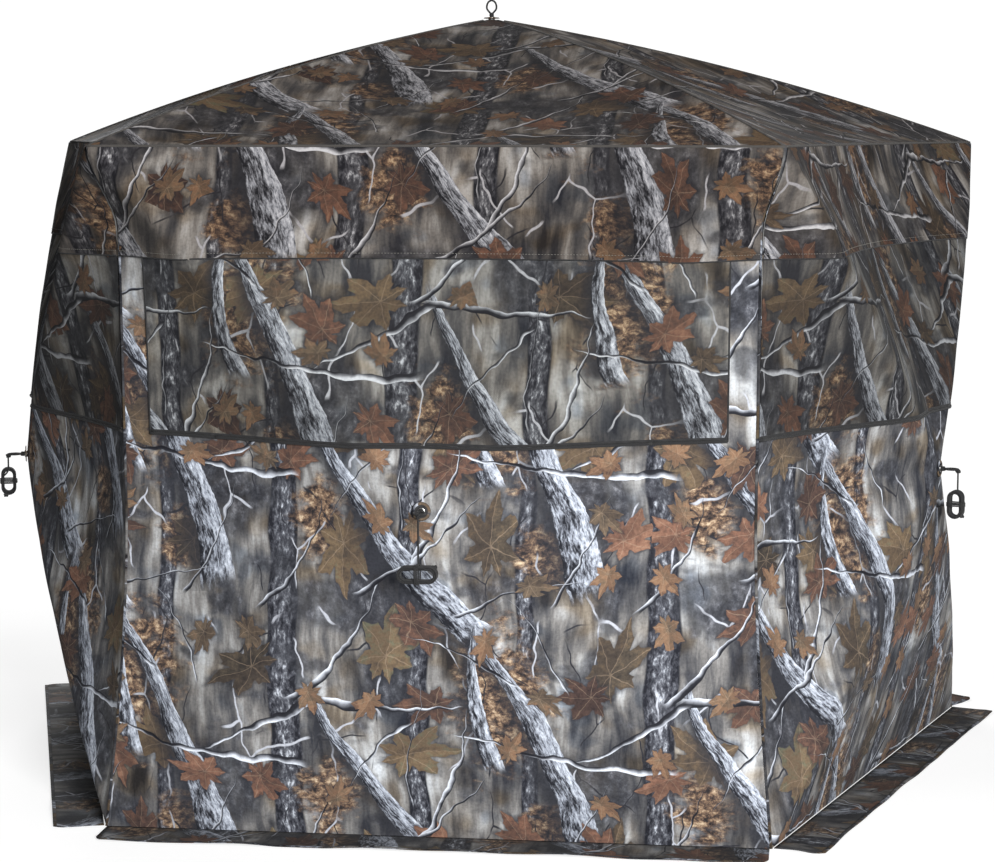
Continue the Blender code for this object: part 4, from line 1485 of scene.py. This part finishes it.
def cord_path(index, drop, straight, outside, inside, lying):
    """Down from the pull loop, then wound into a hank: the outside layer, then the inside."""
    start = wall_hub_frame(index) @ Vector((0, 0, LOOP_CENTRE + LOOP_HALF[1]))
    start -= UP * CORD_START_DROP
    outer, inner = HANK_RADII
    end = start - UP * drop
    depth = outer + CORD_RADIUS if lying else straight / 2 + outer + CORD_RADIUS
    stack = HANK_PITCH * outside / 2
    middle = end - UP * depth
    place = hank_frame(index, middle, lying)
    shift = Vector((0, 0, stack))
    if lying:
        first_distance = 0.010
        landing = Vector((0.010, outer, -stack))
        way = Vector((1, 0, 0))
        leave = Vector((0, outer + 0.011, -stack))
        leave_way = Vector((0, -1, 0))
    else:
        first_distance = stadium_total(straight, outer) - 0.0001
        landing = Vector((0, outer, -stack))
        way = Vector((1, 0, 0))
        leave = Vector((-straight / 2 - outer - 0.004, 0.0, -stack))
        leave_way = Vector((1, 0, 0))
    layer = wound_points(straight, outer, outside, -stack, HANK_PITCH, first_distance)
    bend = rounded_corner(leave, leave_way, landing, way)
    back = wound_points(straight, inner, inside, stack, -HANK_PITCH, 0.02)
    joint_way = (layer[-1] - layer[-2]).normalized()
    back_way = (back[1] - back[0]).normalized()
    joint = rounded_corner(layer[-1], joint_way, back[0], back_way, 6)
    tail_way = (back[-1] - back[-2]).normalized()
    tail_end = back[-1] + tail_way * 0.012 + Vector((0, 0, -0.016))
    tail = rounded_corner(back[-1], tail_way, tail_end, Vector((0, 0, -1)), 8) + [tail_end]
    wound = [place @ (p + shift) for p in bend + layer + joint + back + tail]
    top = place @ (leave + shift)
    count = max(4, round((start - top).length / 0.006))
    line = [start.lerp(top, i / count) for i in range(count + 1)]
    return line + wound, place @ Matrix.Translation(shift)


def add_cord(index, drop, straight, outside, inside, lying):
    name = WALL_NAMES[index]
    body = name + "_hub"
    path, place = cord_path(index, drop, straight, outside, inside, lying)
    piece = add_tube("tie_cord_" + name, path, CORD_RADIUS, 10, "cord")
    finish_piece(piece, body)
    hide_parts("cord_" + name, f"cord_{name}_hank")
    start_knot = add_knot(f"cord_knot_{name}", Matrix.Translation(path[0]), 0.0017, 0.0019, body)
    end_knot = add_knot(f"cord_end_{name}", Matrix.Translation(path[-1]), 0.0015, 0.0018, body)
    band = []
    outer = HANK_RADII[0] + CORD_RADIUS + 0.0016
    deep = HANK_PITCH * outside / 2 + CORD_RADIUS + 0.0016
    for i in range(3 * 48 + 1):
        turn = math.tau * i / 48
        y = outer * abs(math.cos(turn)) ** 0.55 * math.copysign(1, math.cos(turn))
        z = deep * abs(math.sin(turn)) ** 0.55 * math.copysign(1, math.sin(turn))
        band.append(place @ Vector((-0.005 + 0.0032 * i / 48, y, z)))
    tie = finish_piece(add_tube(f"hank_tie_{name}", band, 0.0015, 8, "cord"), body)


# Zip slider ----------------------------------------------------------------------------


def slider_frame():
    def at(level):
        across, up = level_point(level, level)
        return Vector((across, up, wall_depth(across, up)))

    outer, inner = at(0.80), at(0.30)
    along = (inner - outer).normalized()
    out = (OUT - along * OUT.dot(along)).normalized()
    side = out.cross(along)
    return wall_frame(DOOR_WALL) @ frame_matrix(along, side, out, outer + out * 0.006 - side * 0.003)


def bevelled_box(name, size, centre, place, bevel, material):
    """A solid with every edge rounded."""
    work = bmesh.new()
    bmesh.ops.create_cube(work, size=1.0)
    bmesh.ops.scale(work, vec=size, verts=work.verts)
    bmesh.ops.translate(work, vec=centre, verts=work.verts)
    bmesh.ops.bevel(work, geom=work.edges, offset=bevel, segments=3, profile=0.6, affect="EDGES")
    bmesh.ops.transform(work, matrix=place, verts=work.verts)
    work.verts.index_update()
    points = [v.co.copy() for v in work.verts]
    faces = [tuple(v.index for v in face.verts) for face in work.faces]
    work.free()
    return add_object(name, points, faces, [material], [(p.x, p.z) for p in points])


def add_slider():
    place = slider_frame()
    body = bevelled_box("slider_body", (0.022, 0.012, 0.0042), (0, 0, 0.0024), place, 0.0012, "zip")
    finish_piece(body, "zip_slider")
    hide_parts("door_zip_slider")
    bridge = bevelled_box("slider_bridge", (0.012, 0.0036, 0.0030), (0.001, 0, 0.0052), place, 0.0008, "zip")
    tab = bevelled_box("slider_tab", (0.027, 0.0085, 0.0016), (-0.0145, 0, 0.0056), place, 0.0006, "zip")
    for piece in (bridge, tab):
        finish_piece(piece, "zip_slider")
    pull = []
    for i in range(13):
        turn = math.pi * i / 12
        pull.append(place @ Vector((-0.027 - 0.012 * math.sin(turn), 0.003 * math.cos(turn), 0.0056)))
    loop = add_tube("slider_pull", pull, 0.0011, 8, "cord")
    finish_piece(loop, "zip_slider")
    for piece in (body, bridge, tab, loop):
        flatten_with(piece)


# Stage ---------------------------------------------------------------------------------


def floor_material():
    """Pale and plain, thinning out with distance from the object into the white around it."""
    made, n, shader = new_material("studio_floor", 0.95, Specular_IOR_Level=0.0)
    place = n.object_place()
    tone = n.noise(place, 1.5, 2.0)
    shader.inputs["Emission Color"].default_value = (1, 1, 1, 1)
    n.tree.links.new(n.glow(*FLOOR_GLOW), shader.inputs["Emission Strength"])
    link_shader(n, shader, n.ramp(tone, ((0.3, (176, 176, 176)), (0.7, (184, 184, 184)))))
    n.tree.links.new(n.smooth(n.vector("LENGTH", place), 3.6, 1.7), shader.inputs["Alpha"])
    return made


# Name, place, the place it faces, size and power
LIGHTS = (
    ("key", (2.9, -6.9, 2.4), (0, -0.2, 0.7), (2.6, 2.6), 850),
    ("fill", (1.2, -7.5, 2.0), (0, -0.5, 0.6), (3.0, 3.0), 60),
    ("rear", (-2.5, 6.5, 2.8), (0, 0.3, 0.7), (3.0, 3.0), 480),
)
FLOOR_HALF = 5
FLOOR_LEVEL = -0.0005
# Brightness as light on the object, and as the camera sees it
FLOOR_GLOW = (0.16, 0.66)
WORLD_GLOW = (0.13, 1.05)


def add_light(name, place, target, size, power):
    lamp = bpy.data.lights.new(name, "AREA")
    lamp.shape = "RECTANGLE"
    lamp.size, lamp.size_y = size
    lamp.energy = power
    made = bpy.data.objects.new(name, lamp)
    bpy.context.scene.collection.objects.link(made)
    made.location = place
    made.rotation_euler = (Vector(target) - Vector(place)).to_track_quat("-Z", "Y").to_euler()


def add_stage():
    mesh = bpy.data.meshes.new("floor")
    corners = [(x * FLOOR_HALF, y * FLOOR_HALF, 0) for x, y in ((-1, -1), (1, -1), (1, 1), (-1, 1))]
    mesh.from_pydata(corners, [], [(0, 1, 2, 3)])
    mesh.materials.append(floor_material())
    floor = bpy.data.objects.new("floor", mesh)
    bpy.context.scene.collection.objects.link(floor)
    floor.location.z = FLOOR_LEVEL
    world = bpy.data.worlds.new("studio")
    world.use_nodes = True
    n = Nodes(world.node_tree)
    background = world.node_tree.nodes["Background"]
    world.node_tree.links.new(n.glow(*WORLD_GLOW), background.inputs["Strength"])
    background.inputs["Color"].default_value = (1, 1, 1, 1)
    bpy.context.scene.world = world
    for light in LIGHTS:
        add_light(*light)
    bpy.context.scene.view_settings.view_transform = "Standard"


CAMERA_LENS = 91.03
CAMERA_SENSOR = 36
CAMERA_SHIFT = -0.0075
CAMERA_PLACE = (0.795, -6.215 + CENTRE_Y, 1.523)
CAMERA_DOWN = 0.121
CAMERA_TURN = 0.122


def add_camera():
    data = bpy.data.cameras.new("camera")
    data.lens = CAMERA_LENS
    data.sensor_width = CAMERA_SENSOR
    data.shift_x = CAMERA_SHIFT
    camera = bpy.data.objects.new("camera", data)
    camera.location = CAMERA_PLACE
    camera.rotation_euler = (math.pi / 2 - CAMERA_DOWN, 0, CAMERA_TURN)
    bpy.context.scene.collection.objects.link(camera)
    bpy.context.scene.camera = camera


def main():
    add_camera()
    add_stage()
    for cord in CORDS:
        add_cord(*cord)
    for index, name in enumerate(WALL_NAMES):
        add_wall(index)
        add_band(index)
        add_wall_trims(index)
        add_skirt(index)
        add_hub_details(name, name + "_hub", wall_hub_frame(index), "hub_" + name)
        add_pull("pull_loop_" + name, "pull_" + name, name + "_hub", wall_hub_frame(index))
    for index in WINDOW_WALLS:
        add_window(index)
    add_hub_details("roof", "roof_hub", roof_hub_frame(), "hub_roof")
    add_pull("pull_loop_roof", "pull_roof", "roof_hub", roof_hub_frame())
    add_roof()
    add_seams()
    add_door()
    add_slider()
    add_poles()


main()
